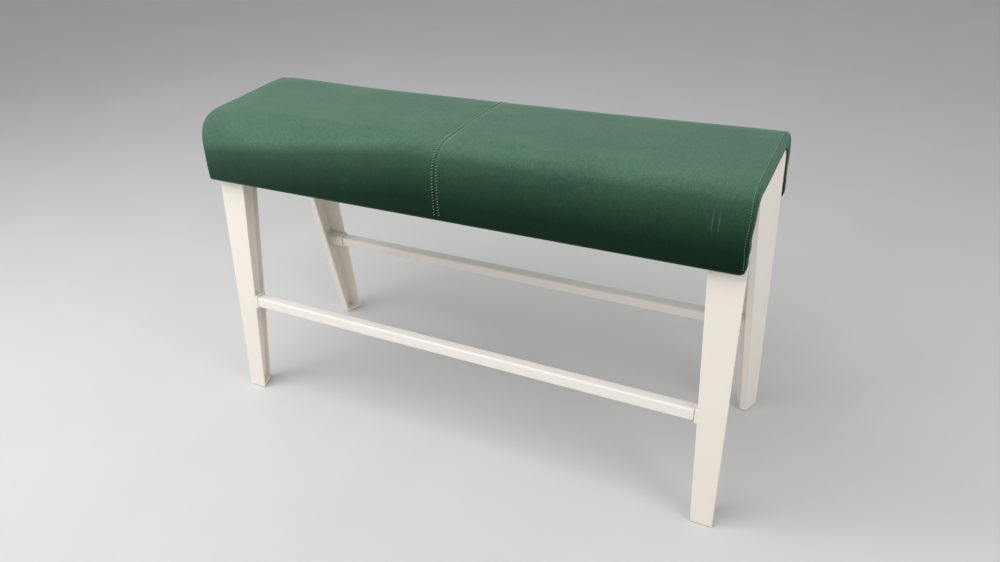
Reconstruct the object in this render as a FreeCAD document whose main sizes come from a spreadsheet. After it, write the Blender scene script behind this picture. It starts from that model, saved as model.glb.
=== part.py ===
import FreeCAD, Part
import math
import os
import Sketcher
from FreeCAD import Placement, Rotation, Vector

# Counter-height upholstered bench: a saddle-shaped upholstered seat carried by two
# cast channel-section end frames, which two long square foot rails tie together.
# X runs along the bench (right end = +X), -Y is the front, +Z is up.
# The origin is on the floor, under the middle of the seat. All lengths are millimetres.

SIZES = {
    # End frames: an upside-down U of open channel section, splayed towards the feet
    "frame_span": 1193.0,        # over the outer faces of the two end frames
    "frame_top": 674.5,          # floor to the top face of the frame beams
    "foot_spread": 426.0,        # over the feet, front to rear, measured at the floor
    "leg_lean": 6.22,            # lean of the outer leg faces from upright, degrees
    "frame_corner": 34.0,        # outer radius between a leg and its beam
    "inner_corner": 30.0,        # inner radius between a leg and its beam
    "leg_depth": 43.0,           # front-to-rear depth of a leg at the floor
    "leg_taper": 3.42,           # opening angle between a leg's outer and inner faces, degrees
    "beam_depth": 78.0,          # height of the beam's channel
    "flange_width": 46.0,        # width of the outer flange at the floor
    "flange_flare": 0.0416,      # how much wider the flange gets per unit of height
    "lip_width": 17.5,           # width of the inner lip
    "web_slant": 0.34,           # how far the web leans inward per unit of section depth
    "frame_wall": 5.0,           # casting wall
    "foot_plate": 6.0,           # thickness of the plate that closes the foot
    "edge_round": 2.2,           # rounding of the casting's outer rim
    # Foot rails: square tube, turned to lie parallel with the leaning legs
    "rail_side": 26.0,
    "rail_round": 4.5,
    "rail_wall": 2.0,
    "rail_height": 243.6,        # floor to rail axis
    "rail_inset": 1.2,           # rail face behind the outer face of the leg
    "boss_rim": 3.6,             # boss material round the rail outline
    "boss_proud": 5.0,           # boss face in front of the flange edge at rail height
    "shadow_gap": 1.0,           # dark joint between rail plug and boss
    "plug_shoulder": 7.0,        # visible length of the plug
    "plug_edge": 1.6,            # rounding of the plug's outer edge
    "plug_fit": 0.15,            # clearance of a spigot in its tube or socket
    "spigot_side": 15.0,         # square spigot in the boss
    "spigot_length": 22.0,
    "tongue_length": 28.0,       # part of the plug inside the tube
    "lock_screw": 6.0,           # set screw diameter
    "lock_screw_key": 3.0,       # its hexagon socket, across flats
    "lock_screw_back": 0.6,      # screw end below the boss surface
    # Feet
    "glide_height": 1.5,         # nylon glide below the foot plate
    "glide_diameter": 24.0,
    "glide_stem": 7.6,
    "glide_barb": 8.6,
    "glide_fit": 0.15,
    "glide_setback": 15.5,       # from the leg's outer face to the glide axis
    "glide_inset": 22.5,         # from the frame's outer plane to the glide axis
    # Seat layers, from the frame outwards
    "shell_wall": 10.0,          # moulded plywood
    "foam_top": 19.5,            # foam over the flat of the seat, under the crown
    "cover_wall": 1.3,           # upholstery fabric with its backing
    "layer_gap": 0.15,           # between glued layers
    "skirt_padding": 27.21,      # skirt surface outside the leg, at the belly line
    "seat_overhang": 3.0,        # seat end beyond the frame's outer face
    "seat_crown": 3500.0,        # radius of the crowned top
    "seat_shoulder": 58.0,       # radius from top to skirt
    "skirt_bulge": 600.0,        # radius of the bellied skirts
    "belly_drop": 94.5,          # frame top down to the skirts' widest line
    "skirt_drop": 121.5,         # frame top down to the lower edge of the skirts
    "edge_roll": 9.0,            # rolled edge all round the cover
    "skirt_corner": 17.0,        # corner radius of the skirts, seen from the front
    "shell_setback": 7.5,        # shell end behind the seat end
    "shell_hem": 4.0,            # shell edge above the hem
    "shell_corner": 13.0,
    "border_width": 6.4,         # cover band round each end, outside the end seam
    "seam_gap": 0.2,             # between neighbouring cover panels
    "seam_groove": 2.4,          # width of the sewn-in channel along a seam
    "seam_depth": 0.5,
    "hem_turn": 27.0,            # cover turned up inside the skirts
    "liner_wall": 1.2,           # dust cover under the shell
    "liner_margin": 3.0,         # liner short of the frames
    # Seat fixings
    "bolt_shank": 6.0,
    "bolt_head": 12.0,
    "bolt_head_height": 3.6,
    "bolt_key": 4.0,
    "bolt_spread": 66.0,         # beam bolts either side of the middle
    "bolt_inset": 36.0,          # bolt axis from the frame's outer plane
    "leg_bolt_rise": 53.0,       # from the hem up to the bolts through the legs' flanges
    "bolt_length": 16.0,         # under the head
    "washer_diameter": 16.0,
    "washer_thickness": 1.2,
    "bore_fit": 0.25,            # radial clearance of a bolt in a plain hole
    "thread_fit": 0.1,           # radial clearance at a thread
    "nut_barrel": 8.0,
    "nut_barrel_length": 9.0,
    "nut_flange": 19.0,
    "nut_flange_thickness": 1.5,
}

doc = FreeCAD.newDocument("UpholsteredBench")
sheet = doc.addObject("Spreadsheet::Sheet", "Sizes")
for row, (alias, value) in enumerate(SIZES.items(), start=1):
    sheet.set(f"A{row}", alias)
    sheet.set(f"B{row}", str(value))
    sheet.setAlias(f"B{row}", alias)
doc.recompute()

NODES = []          # every sub-part that gets its own file
MIRROR = {"right": 1, "left": -1}
DEPTH_SIDE = {"rear": 1, "front": -1}


def size(alias):
    return float(sheet.get(alias))


# Places that several sub-parts share

FRAME_X = size("frame_span") / 2
LEAN = math.radians(size("leg_lean"))
FRAME_TOP = size("frame_top")
FOOT_Z = size("glide_height")
INNER_LEAN = LEAN + math.radians(size("leg_taper"))
SEAT_X = FRAME_X + size("seat_overhang")
SEAT_TOP = (FRAME_TOP + 2 * size("layer_gap") + size("shell_wall") + size("foam_top")
            + size("layer_gap") + size("cover_wall"))
HEM_Z = FRAME_TOP - size("skirt_drop")
BELLY_Z = FRAME_TOP - size("belly_drop")
LEG_BOLT_Z = HEM_Z + size("leg_bolt_rise")


def leg_outer(z):
    """Distance of a leg's outer face from the bench's middle plane."""
    return size("foot_spread") / 2 - math.tan(LEAN) * z


def leg_inner(z):
    """Distance of a leg's inner face from the bench's middle plane."""
    return size("foot_spread") / 2 - size("leg_depth") - math.tan(INNER_LEAN) * z


def flange_width(z):
    return size("flange_width") + size("flange_flare") * z


HALF_DEPTH = leg_outer(BELLY_Z) + size("skirt_padding")
INBOARD_X = FRAME_X - 3 * flange_width(FRAME_TOP)


def add_part(label, shape):
    """A free-form sub-part: its shape is built in place from the sheet's sizes."""
    piece = doc.addObject("Part::Feature", label)
    piece.Label = label
    piece.Shape = shape
    piece.Placement = Placement()
    NODES.append(piece)
    return piece


def face_in_yz(edges, x):
    """A face from edges drawn as (y, z) in the plane X = x."""
    wire = Part.Wire(edges)
    wire.translate(Vector(x, 0, 0))
    return Part.Face(wire)


def line(a, b):
    return Part.LineSegment(Vector(0, *a), Vector(0, *b)).toShape()


def arc(centre, radius, start, end):
    """Arc round (y, z); angles from +Z towards +Y, in radians."""
    points = []
    for angle in (start, (start + end) / 2, end):
        y = centre[0] + radius * math.sin(angle)
        z = centre[1] + radius * math.cos(angle)
        points.append(Vector(0, y, z))
    return Part.Arc(*points).toShape()


def on_arc(centre, radius, angle):
    return (centre[0] + radius * math.sin(angle), centre[1] + radius * math.cos(angle))


def arch_edges(offset, low):
    """The frames' outer outline, grown by offset, closed straight across at z = low."""
    radius = size("frame_corner") + offset
    centre_z = FRAME_TOP - size("frame_corner")
    centre_y = leg_outer(centre_z) - size("frame_corner") / math.cos(LEAN)
    turn = math.pi / 2 - LEAN
    low_y = leg_outer(low) + offset / math.cos(LEAN)
    rear = (centre_y, centre_z)
    front = (-centre_y, centre_z)
    return [
        line((-low_y, low), on_arc(front, radius, -turn)),
        arc(front, radius, -turn, 0),
        line(on_arc(front, radius, 0), on_arc(rear, radius, 0)),
        arc(rear, radius, 0, turn),
        line(on_arc(rear, radius, turn), (low_y, low)),
        line((low_y, low), (-low_y, low)),
    ]


def inner_arch_edges(offset, low):
    """The outline inside the frame's U, grown by offset, closed at z = low."""
    radius = size("inner_corner") + offset
    centre_z = FRAME_TOP - size("beam_depth") - size("inner_corner")
    centre_y = leg_inner(centre_z) - size("inner_corner") / math.cos(INNER_LEAN)
    turn = math.pi / 2 - INNER_LEAN
    low_y = leg_inner(low) + offset / math.cos(INNER_LEAN)
    rear = (centre_y, centre_z)
    front = (-centre_y, centre_z)
    return [
        line((-low_y, low), on_arc(front, radius, -turn)),
        arc(front, radius, -turn, 0),
        line(on_arc(front, radius, 0), on_arc(rear, radius, 0)),
        arc(rear, radius, 0, turn),
        line(on_arc(rear, radius, turn), (low_y, low)),
        line((low_y, low), (-low_y, low)),
    ]


def extrude_x(edges, x0, x1):
    return face_in_yz(edges, x0).extrude(Vector(x1 - x0, 0, 0))


# The right end frame, built from three flat-sided wedges

def wedge(sections):
    """A solid between two trapezoids; each is (x, low_y, low_z, top_y, top_z)."""
    rings = []
    for x, low_y, low_z, top_y, top_z in sections:
        rings.append([
            Vector(x, -low_y, low_z),
            Vector(x, -top_y, top_z),
            Vector(x, top_y, top_z),
            Vector(x, low_y, low_z),
        ])
    first, last = rings
    loops = [first, last]
    for i in range(4):
        j = (i + 1) % 4
        loops.append([first[i], first[j], last[j], last[i]])
    faces = [Part.Face(Part.makePolygon(loop + loop[:1])) for loop in loops]
    shell = Part.Shell(faces)
    solid = Part.Solid(shell)
    if not solid.isInside(shell.CenterOfMass, 1e-3, False):
        solid.reverse()
    return solid


def web_wedge(shift):
    """Everything outside the slanted web, pushed inward by shift."""
    below = -60.0
    sections = []
    for depth in (-40.0, size("beam_depth") + size("inner_corner") + 40.0):
        x = FRAME_X - shift - size("web_slant") * depth
        top_z = FRAME_TOP - depth
        across = depth / math.cos(LEAN)
        sections.append((x, leg_outer(below) - across, below, leg_outer(top_z) - across, top_z))
    return wedge(sections)


def opening_wedge():
    """Everything beyond the channel's open side."""
    below = -60.0
    beam_lip = size("web_slant") * size("beam_depth") + size("lip_width")
    slope = (flange_width(FRAME_TOP) - beam_lip) / size("beam_depth")
    sections = []
    for x in (FRAME_X - size("flange_width") / 2, INBOARD_X):
        from_flange = x - FRAME_X + size("flange_width")
        top_z = (slope * FRAME_TOP - from_flange) / (slope + size("flange_flare"))
        low_d = (from_flange + size("flange_flare") * below) / slope / math.cos(LEAN)
        top_d = (from_flange + size("flange_flare") * top_z) / slope / math.cos(LEAN)
        sections.append((x, leg_outer(below) - low_d, below, leg_outer(top_z) - top_d, top_z))
    return wedge(sections)


def frame_blank():
    span = (INBOARD_X, FRAME_X)
    outside = extrude_x(arch_edges(0, FOOT_Z), *span)
    inside = extrude_x(inner_arch_edges(0, FOOT_Z - 10.0), span[0] - 1, span[1] + 1)
    return outside.cut(inside).cut(web_wedge(0))


def sector_fill(side):
    """Rounds the web's slant off as a cone where a leg turns into the beam."""
    radius = size("frame_corner")
    centre_z = FRAME_TOP - radius
    centre_y = side * (leg_outer(centre_z) - radius / math.cos(LEAN))
    centre = (centre_y, centre_z)
    turn = side * (math.pi / 2 - LEAN)
    drop = size("web_slant") * radius
    edges = [
        line(centre, on_arc(centre, radius, 0)),
        arc(centre, radius, 0, turn),
        line(on_arc(centre, radius, turn), centre),
    ]
    block = extrude_x(edges, FRAME_X - drop - 1.0, FRAME_X)
    apex = Vector(FRAME_X - drop, centre_y, centre_z)
    return block.cut(Part.makeCone(0, radius, drop, apex, Vector(1, 0, 0)))


def channel_space():
    """The hollow of the channel, open towards the middle of the bench."""
    wall = size("frame_wall")
    web_wall = wall * math.hypot(1, size("web_slant"))
    span = (INBOARD_X, FRAME_X)
    outside = extrude_x(arch_edges(-wall, FOOT_Z + size("foot_plate")), *span)
    inside = extrude_x(inner_arch_edges(wall, FOOT_Z - 10.0), span[0] - 1, span[1] + 1)
    return outside.cut(inside).cut(web_wedge(web_wall))


def leg_axes(side):
    """Outward normal of a leg's outer face, and the direction up along the leg."""
    out = Vector(0, side * math.cos(LEAN), math.sin(LEAN))
    up = Vector(0, -side * math.sin(LEAN), math.cos(LEAN))
    return out, up


RAIL_Z = size("rail_height")
RAIL_HALF = size("rail_side") / 2
RAIL_Y = leg_outer(RAIL_Z) - (size("rail_inset") + RAIL_HALF) / math.cos(LEAN)
BOSS_X = FRAME_X - flange_width(RAIL_Z) - size("boss_proud")
SOCKET_HALF = size("spigot_side") / 2 + size("plug_fit")
SOCKET_DEPTH = size("spigot_length") + 1.0
SCREW_X = BOSS_X + size("spigot_length") / 2
GLIDE_X = FRAME_X - size("glide_inset")
GLIDE_Y = leg_outer(0) - size("glide_setback")
BOLT_X = FRAME_X - size("bolt_inset")


def square_bar(half, corner, x0, x1, side):
    """A square bar along X with rounded edges, lying parallel with a leaning leg."""
    bar = Part.makeBox(x1 - x0, 2 * half, 2 * half, Vector(x0, -half, -half))
    long_edges = [edge for edge in bar.Edges if edge.BoundBox.XLength > (x1 - x0) / 2]
    bar = bar.makeFillet(corner, long_edges)
    bar.rotate(Vector(0, 0, 0), Vector(1, 0, 0), -side * size("leg_lean"))
    bar.translate(Vector(0, side * RAIL_Y, RAIL_Z))
    return bar


def rail_boss(side):
    rim = size("boss_rim")
    inside_rim = FRAME_X - 2 * size("edge_round")
    boss = square_bar(RAIL_HALF + rim, size("rail_round") + rim, BOSS_X, inside_rim, side)
    inside_leg = extrude_x(arch_edges(-0.6, FOOT_Z), BOSS_X - 1.0, FRAME_X + 1.0)
    return boss.common(inside_leg).cut(web_wedge(0.5))


def fixing_places():
    """Seat fixings of one frame: name, point on the frame's outer face, direction out."""
    places = []
    for depth, side in DEPTH_SIDE.items():
        on_beam = Vector(BOLT_X, side * size("bolt_spread"), FRAME_TOP)
        places.append((f"{depth}_beam", on_beam, Vector(0, 0, 1)))
        on_leg = Vector(BOLT_X, side * leg_outer(LEG_BOLT_Z), LEG_BOLT_Z)
        places.append((f"{depth}_leg", on_leg, leg_axes(side)[0]))
    return places


def drill(radius, start, direction, length):
    return Part.makeCylinder(radius, length, start, direction)


def build_right_frame():
    frame = frame_blank().fuse([sector_fill(1), sector_fill(-1)]).removeSplitter()
    frame = frame.cut(opening_wedge()).cut(channel_space())
    rim = [edge for edge in frame.Edges
           if edge.BoundBox.XMin > FRAME_X - 0.01 and edge.BoundBox.ZMax > FOOT_Z + 1]
    frame = frame.makeFillet(size("edge_round"), rim)
    holes = []
    for side in DEPTH_SIDE.values():
        frame = frame.fuse(rail_boss(side))
        socket_end = BOSS_X + SOCKET_DEPTH
        holes.append(square_bar(SOCKET_HALF, size("plug_edge"), BOSS_X - 5.0, socket_end, side))
        down = leg_axes(side)[1] * -1
        on_axis = Vector(SCREW_X, side * RAIL_Y, RAIL_Z)
        tapped = size("lock_screw") / 2 + size("thread_fit")
        holes.append(drill(tapped, on_axis, down, RAIL_HALF + size("boss_rim") + 2.0))
        foot = Vector(GLIDE_X, side * GLIDE_Y, 0)
        stem = size("glide_stem") / 2 + size("glide_fit")
        holes.append(drill(stem, foot, Vector(0, 0, 1), FOOT_Z + size("foot_plate") + 1.0))
    for name, point, out in fixing_places():
        wall = size("frame_wall")
        bore = size("bolt_shank") / 2 + size("bore_fit")
        holes.append(drill(bore, point - out * (wall + 2.0), out, wall + 4.0))
    return frame.cut(holes)


right_frame = add_part("right_end_frame", build_right_frame())
left_frame = doc.addObject("Part::Mirroring", "left_end_frame")
left_frame.Label = "left_end_frame"
left_frame.Source = right_frame
left_frame.Normal = Vector(1, 0, 0)
NODES.append(left_frame)


# Turned and square pieces, drawn as sketches whose sizes are cells of the sheet

def origin_plane(body, role):
    return next(f for f in body.Origin.OriginFeatures if f.Role == role)


def new_sketch(body, role, name, offset="0"):
    sketch = body.newObject("Sketcher::SketchObject", name)
    sketch.AttachmentSupport = (origin_plane(body, role), [""])
    sketch.MapMode = "FlatFace"
    sketch.setExpression("AttachmentOffset.Base.z", offset)
    return sketch


def start_body(label):
    body = doc.addObject("PartDesign::Body", label)
    body.Label = label
    NODES.append(body)
    return body


def dimension(sketch, kind, *where, formula):
    """A named distance from the sketch's origin, bound to the sheet."""
    value = float(sketch.evalExpression(formula))
    index = sketch.addConstraint(Sketcher.Constraint(kind, *where, value))
    name = f"size{index}"
    sketch.renameConstraint(index, name)
    sketch.setExpression(f"Constraints.{name}", formula)


def draw_polygon(sketch, points):
    """A closed outline through points given as pairs of formulas; none is negative."""
    spots = [Vector(float(sketch.evalExpression(a)), float(sketch.evalExpression(b)), 0)
             for a, b in points]
    count = len(spots)
    for i in range(count):
        sketch.addGeometry(Part.LineSegment(spots[i], spots[(i + 1) % count]), False)
    for i in range(count):
        sketch.addConstraint(Sketcher.Constraint("Coincident", i, 2, (i + 1) % count, 1))
    for i, (across, along) in enumerate(points):
        for kind, formula, axis in (("DistanceX", across, -2), ("DistanceY", along, -1)):
            if formula == "0":
                sketch.addConstraint(Sketcher.Constraint("PointOnObject", i, 1, axis))
            else:
                dimension(sketch, kind, -1, 1, i, 1, formula=formula)


def draw_rounded_square(sketch, half, corner):
    """A square round the origin with rounded corners; half and corner are formulas."""
    h = float(sketch.evalExpression(half))
    r = float(sketch.evalExpression(corner))
    flat = h - r
    for k in range(4):
        turn = k * math.pi / 2
        rotate = Rotation(Vector(0, 0, 1), math.degrees(turn))
        start = rotate.multVec(Vector(h, -flat, 0))
        end = rotate.multVec(Vector(h, flat, 0))
        sketch.addGeometry(Part.LineSegment(start, end), False)
        circle = Part.Circle(rotate.multVec(Vector(flat, flat, 0)), Vector(0, 0, 1), r)
        sketch.addGeometry(Part.ArcOfCircle(circle, turn, turn + math.pi / 2), False)
    for k in range(4):
        side, bend, following = 2 * k, 2 * k + 1, (2 * k + 2) % 8
        sketch.addConstraint(Sketcher.Constraint("Tangent", side, 2, bend, 1))
        sketch.addConstraint(Sketcher.Constraint("Tangent", bend, 2, following, 1))
        upright = "Vertical" if k % 2 == 0 else "Horizontal"
        sketch.addConstraint(Sketcher.Constraint(upright, side))
    for k in range(1, 4):
        sketch.addConstraint(Sketcher.Constraint("Equal", 1, 2 * k + 1))
    index = sketch.addConstraint(Sketcher.Constraint("Radius", 1, r))
    sketch.renameConstraint(index, "corner")
    sketch.setExpression("Constraints.corner", corner)
    dimension(sketch, "DistanceX", -1, 1, 0, 1, formula=half)
    dimension(sketch, "DistanceX", 4, 1, -1, 1, formula=half)
    dimension(sketch, "DistanceY", -1, 1, 2, 1, formula=half)
    dimension(sketch, "DistanceY", 6, 1, -1, 1, formula=half)


def pad_square(body, name, half, corner, start, length):
    """A rounded square bar along the body's X axis, from start, both as formulas."""
    sketch = new_sketch(body, "YZ_Plane", f"{name}_outline", start)
    draw_rounded_square(sketch, half, corner)
    pad = body.newObject("PartDesign::Pad", name)
    pad.Profile = sketch
    pad.setExpression("Length", length)
    return pad


def turn_profile(body, name, points):
    """A turned piece round the body's Z axis from an outline of (radius, height)."""
    sketch = new_sketch(body, "XZ_Plane", f"{name}_outline")
    draw_polygon(sketch, points)
    turned = body.newObject("PartDesign::Revolution", name)
    turned.Profile = sketch
    turned.ReferenceAxis = (sketch, ["V_Axis"])
    turned.Angle = 360.0
    return turned


def hexagon_socket(body, name, across, depth, start, upward=False):
    """A hexagon key socket, cut along the Z axis from the height start."""
    sketch = new_sketch(body, "XY_Plane", f"{name}_outline", start)
    radius = float(sketch.evalExpression(across)) / math.sqrt(3)
    corner = Vector(radius, 0, 0)
    turns = [Rotation(Vector(0, 0, 1), 60 * k) for k in range(7)]
    for k in range(6):
        side = Part.LineSegment(turns[k].multVec(corner), turns[k + 1].multVec(corner))
        sketch.addGeometry(side, False)
    circle = sketch.addGeometry(Part.Circle(Vector(0, 0, 0), Vector(0, 0, 1), radius), True)
    for k in range(6):
        sketch.addConstraint(Sketcher.Constraint("Coincident", k, 2, (k + 1) % 6, 1))
        sketch.addConstraint(Sketcher.Constraint("PointOnObject", k, 1, circle))
    for k in range(1, 6):
        sketch.addConstraint(Sketcher.Constraint("Equal", 0, k))
    sketch.addConstraint(Sketcher.Constraint("Coincident", circle, 3, -1, 1))
    sketch.addConstraint(Sketcher.Constraint("PointOnObject", 0, 1, -1))
    index = sketch.addConstraint(Sketcher.Constraint("Radius", circle, radius))
    sketch.renameConstraint(index, "key")
    sketch.setExpression("Constraints.key", f"({across}) / sqrt(3)")
    socket = body.newObject("PartDesign::Pocket", name)
    socket.Profile = sketch
    socket.setExpression("Length", depth)
    socket.Reversed = upward
    return socket


def frame_of(x_axis, z_axis, base):
    """A placement that turns the body's X and Z axes to the given directions."""
    y_axis = z_axis.cross(x_axis)
    return Placement(base, Rotation(x_axis, y_axis, z_axis, "XZY"))


# Foot rails and the plugs that join them to the frames

TUBE_HALF = "(Sizes.rail_side / 2)"
TUBE_BORE = "(Sizes.rail_side / 2 - Sizes.rail_wall)"
BORE_ROUND = "(Sizes.rail_round - Sizes.rail_wall)"
PLUG_END_X = BOSS_X - size("shadow_gap")
TUBE_X = PLUG_END_X - size("plug_shoulder")

for depth, side in DEPTH_SIDE.items():
    out, up = leg_axes(side)
    body = start_body(f"{depth}_foot_rail")
    half_length = (f"(Sizes.frame_span / 2 - Sizes.flange_width"
                   f" - Sizes.flange_flare * Sizes.rail_height - Sizes.boss_proud"
                   f" - Sizes.shadow_gap - Sizes.plug_shoulder)")
    pad_square(body, "tube", TUBE_HALF, "Sizes.rail_round", f"-1 * {half_length}",
               f"2 * {half_length}")
    sketch = new_sketch(body, "YZ_Plane", "bore_outline", half_length)
    draw_rounded_square(sketch, TUBE_BORE, BORE_ROUND)
    bore = body.newObject("PartDesign::Pocket", "bore")
    bore.Profile = sketch
    bore.setExpression("Length", f"2 * {half_length}")
    body.Placement = frame_of(Vector(1, 0, 0), up, Vector(0, side * RAIL_Y, RAIL_Z))

for depth, side in DEPTH_SIDE.items():
    out, up = leg_axes(side)
    for hand, sign in MIRROR.items():
        body = start_body(f"rail_plug_{depth}_{hand}")
        fit = "Sizes.plug_fit"
        pad_square(body, "tongue", f"({TUBE_BORE} - {fit})", f"({BORE_ROUND} - {fit})",
                   "-1 * Sizes.tongue_length", "Sizes.tongue_length")
        shoulder = pad_square(body, "shoulder", TUBE_HALF, "Sizes.rail_round", "0",
                              "Sizes.plug_shoulder")
        doc.recompute()
        rim = [f"Edge{i}" for i, edge in enumerate(shoulder.Shape.Edges, start=1)
               if edge.BoundBox.XMin > size("plug_shoulder") - 0.01]
        rounding = body.newObject("PartDesign::Fillet", "shoulder_edge")
        rounding.Base = (shoulder, rim)
        rounding.setExpression("Radius", "Sizes.plug_edge")
        pad_square(body, "spigot", "(Sizes.spigot_side / 2)", "Sizes.plug_edge",
                   "Sizes.plug_shoulder", "(Sizes.shadow_gap + Sizes.spigot_length)")
        base = Vector(sign * TUBE_X, side * RAIL_Y, RAIL_Z)
        body.Placement = frame_of(Vector(sign, 0, 0), up, base)

for depth, side in DEPTH_SIDE.items():
    out, up = leg_axes(side)
    for hand, sign in MIRROR.items():
        body = start_body(f"rail_lock_screw_{depth}_{hand}")
        grip = "(Sizes.rail_side / 2 + Sizes.boss_rim - Sizes.lock_screw_back)"
        tip = "(Sizes.spigot_side / 2 + 0.1)"
        r = "(Sizes.lock_screw / 2)"
        turn_profile(body, "shank", [
            ("0", tip),
            (f"({r} - 0.8)", tip),
            (r, f"({tip} + 0.8)"),
            (r, f"({grip} - 0.4)"),
            (f"({r} - 0.4)", grip),
            ("0", grip),
        ])
        hexagon_socket(body, "key_socket", "Sizes.lock_screw_key", "3.5", grip)
        base = Vector(sign * SCREW_X, side * RAIL_Y, RAIL_Z)
        body.Placement = frame_of(Vector(sign, 0, 0), up * -1, base)

for depth, side in DEPTH_SIDE.items():
    for hand, sign in MIRROR.items():
        body = start_body(f"foot_glide_{depth}_{hand}")
        disc = "(Sizes.glide_diameter / 2)"
        stem = "(Sizes.glide_stem / 2)"
        barb = "(Sizes.glide_barb / 2)"
        plate_top = "(Sizes.glide_height + Sizes.foot_plate + 0.1)"
        turn_profile(body, "glide", [
            ("0", "0"),
            (f"({disc} - 0.8)", "0"),
            (disc, "0.8"),
            (disc, "Sizes.glide_height"),
            (stem, "Sizes.glide_height"),
            (stem, plate_top),
            (barb, plate_top),
            (f"({stem} - 1)", f"({plate_top} + 3)"),
            ("0", f"({plate_top} + 3)"),
        ])
        body.Placement = Placement(Vector(sign * GLIDE_X, side * GLIDE_Y, 0), Rotation())


# The seat: plywood saddle, foam, cover panels, end bands and dust cover

def cushion_edges(inset, low):
    """The seat's end outline, shrunk by inset and closed straight across at z = low."""
    roof = size("seat_crown") - inset
    shoulder = size("seat_shoulder") - inset
    belly = size("skirt_bulge") - inset
    belly_centre = (HALF_DEPTH - size("skirt_bulge"), BELLY_Z)
    roof_centre = (0, SEAT_TOP - size("seat_crown"))
    reach_roof = size("seat_crown") - size("seat_shoulder")
    reach_belly = size("skirt_bulge") - size("seat_shoulder")
    dy = belly_centre[0] - roof_centre[0]
    dz = belly_centre[1] - roof_centre[1]
    apart = math.hypot(dy, dz)
    along = (apart ** 2 + reach_roof ** 2 - reach_belly ** 2) / (2 * apart)
    aside = math.sqrt(reach_roof ** 2 - along ** 2)
    shoulder_y = roof_centre[0] + (dy * along + dz * aside) / apart
    shoulder_z = roof_centre[1] + (dz * along - dy * aside) / apart
    tip = math.atan2(shoulder_y, shoulder_z - roof_centre[1])
    drop = math.atan2(shoulder_y - belly_centre[0], shoulder_z - belly_centre[1])
    end = math.pi / 2 + math.asin((belly_centre[1] - low) / belly)
    low_y = on_arc(belly_centre, belly, end)[0]
    front_belly = (-belly_centre[0], belly_centre[1])
    return [
        arc(front_belly, belly, -end, -drop),
        arc((-shoulder_y, shoulder_z), shoulder, -drop, -tip),
        arc(roof_centre, roof, -tip, tip),
        arc((shoulder_y, shoulder_z), shoulder, tip, drop),
        arc(belly_centre, belly, drop, end),
        line((low_y, low), (-low_y, low)),
    ]


def seat_block(inset):
    """The seat's whole outer form as a solid block, shrunk by inset on every side."""
    end_x = SEAT_X - inset
    low = HEM_Z + inset
    block = extrude_x(cushion_edges(inset, low), -end_x, end_x)
    corners = [edge for edge in block.Edges
               if edge.BoundBox.ZMax < low + 0.01 and edge.BoundBox.XLength < 0.01]
    block = block.makeFillet(size("skirt_corner") - inset, corners)
    rolled = []
    for edge in block.Edges:
        first = edge.Vertexes[0].Point
        last = edge.Vertexes[-1].Point
        on_bottom = max(first.z, last.z) < low + 0.01
        crosses = abs(first.y - last.y) > HALF_DEPTH
        runs_along = abs(first.x - last.x) > end_x
        if crosses and max(first.z, last.z) < low + size("skirt_corner") + 1.0:
            continue
        if runs_along and not on_bottom:
            continue
        rolled.append(edge)
    return block.makeFillet(size("edge_roll") - inset, rolled)


def arch_block(offset, end_x, low):
    """The space under the seat, out to the frames' outline grown by offset."""
    return extrude_x(arch_edges(offset, low), -end_x, end_x)


COVER = size("cover_wall")
GAP = size("layer_gap")
SHELL_OUT = GAP + size("shell_wall")
SHELL_X = SEAT_X - size("shell_setback")
SHELL_Z = HEM_Z + size("shell_hem")
BETWEEN_X = FRAME_X - flange_width(FRAME_TOP) - size("liner_margin")
END_SEAM_X = SEAT_X - size("border_width")
HALF_SEAM = size("seam_gap") / 2


def shell_block(grow):
    """The plywood saddle as a filled block, grown by grow for its glue line."""
    low = SHELL_Z - grow
    block = arch_block(SHELL_OUT + grow, SHELL_X + grow, low)
    corners = []
    for edge in block.Edges:
        first = edge.Vertexes[0].Point
        last = edge.Vertexes[-1].Point
        if max(first.z, last.z) < low + 0.01 and abs(first.x - last.x) < 0.01:
            corners.append(edge)
    return block.makeFillet(size("shell_corner") + grow, corners)


def slab(x0, x1, z0, z1):
    """A box right across the seat, used to part its layers."""
    across = size("foot_spread")
    return Part.makeBox(x1 - x0, across, z1 - z0, Vector(x0, -across / 2, z0))


def fixings_both_ends():
    """Name, point on the frame's outer face and direction out, for all eight fixings."""
    places = []
    for hand, sign in MIRROR.items():
        for name, point, out in fixing_places():
            places.append((f"{name}_{hand}", Vector(sign * point.x, point.y, point.z), out))
    return places


def build_shell():
    shell = shell_block(0).cut(arch_block(GAP, SHELL_X + 1.0, HEM_Z))
    barrel = size("nut_barrel") / 2 + size("thread_fit")
    holes = [drill(barrel, point, out, SHELL_OUT + 1.0) for name, point, out in fixings_both_ends()]
    return shell.cut(holes)


def build_foam():
    foam = seat_block(COVER + GAP).cut(arch_block(GAP, SEAT_X, HEM_Z)).cut(shell_block(GAP))
    flange = size("nut_flange") / 2 + 0.3
    depth = SHELL_OUT + size("nut_flange_thickness") + 0.3
    pockets = [drill(flange, point, out, depth) for name, point, out in fixings_both_ends()]
    return foam.cut(pockets)


def hem_strip(side):
    """The part of the cover that turns up inside a skirt, between the end frames."""
    lean = math.cos(LEAN)
    low = HEM_Z
    under = low + COVER
    high = low + size("hem_turn")
    outline = [
        (leg_outer(low) - COVER / lean, low),
        (leg_outer(low) + (GAP + 0.4) / lean, low),
        (leg_outer(under) + (GAP + 0.4) / lean, under),
        (leg_outer(under), under),
        (leg_outer(high), high),
        (leg_outer(high) - COVER / lean, high),
    ]
    points = [(side * y, z) for y, z in outline]
    edges = [line(a, b) for a, b in zip(points, points[1:] + points[:1])]
    return extrude_x(edges, -BETWEEN_X, BETWEEN_X)


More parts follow.
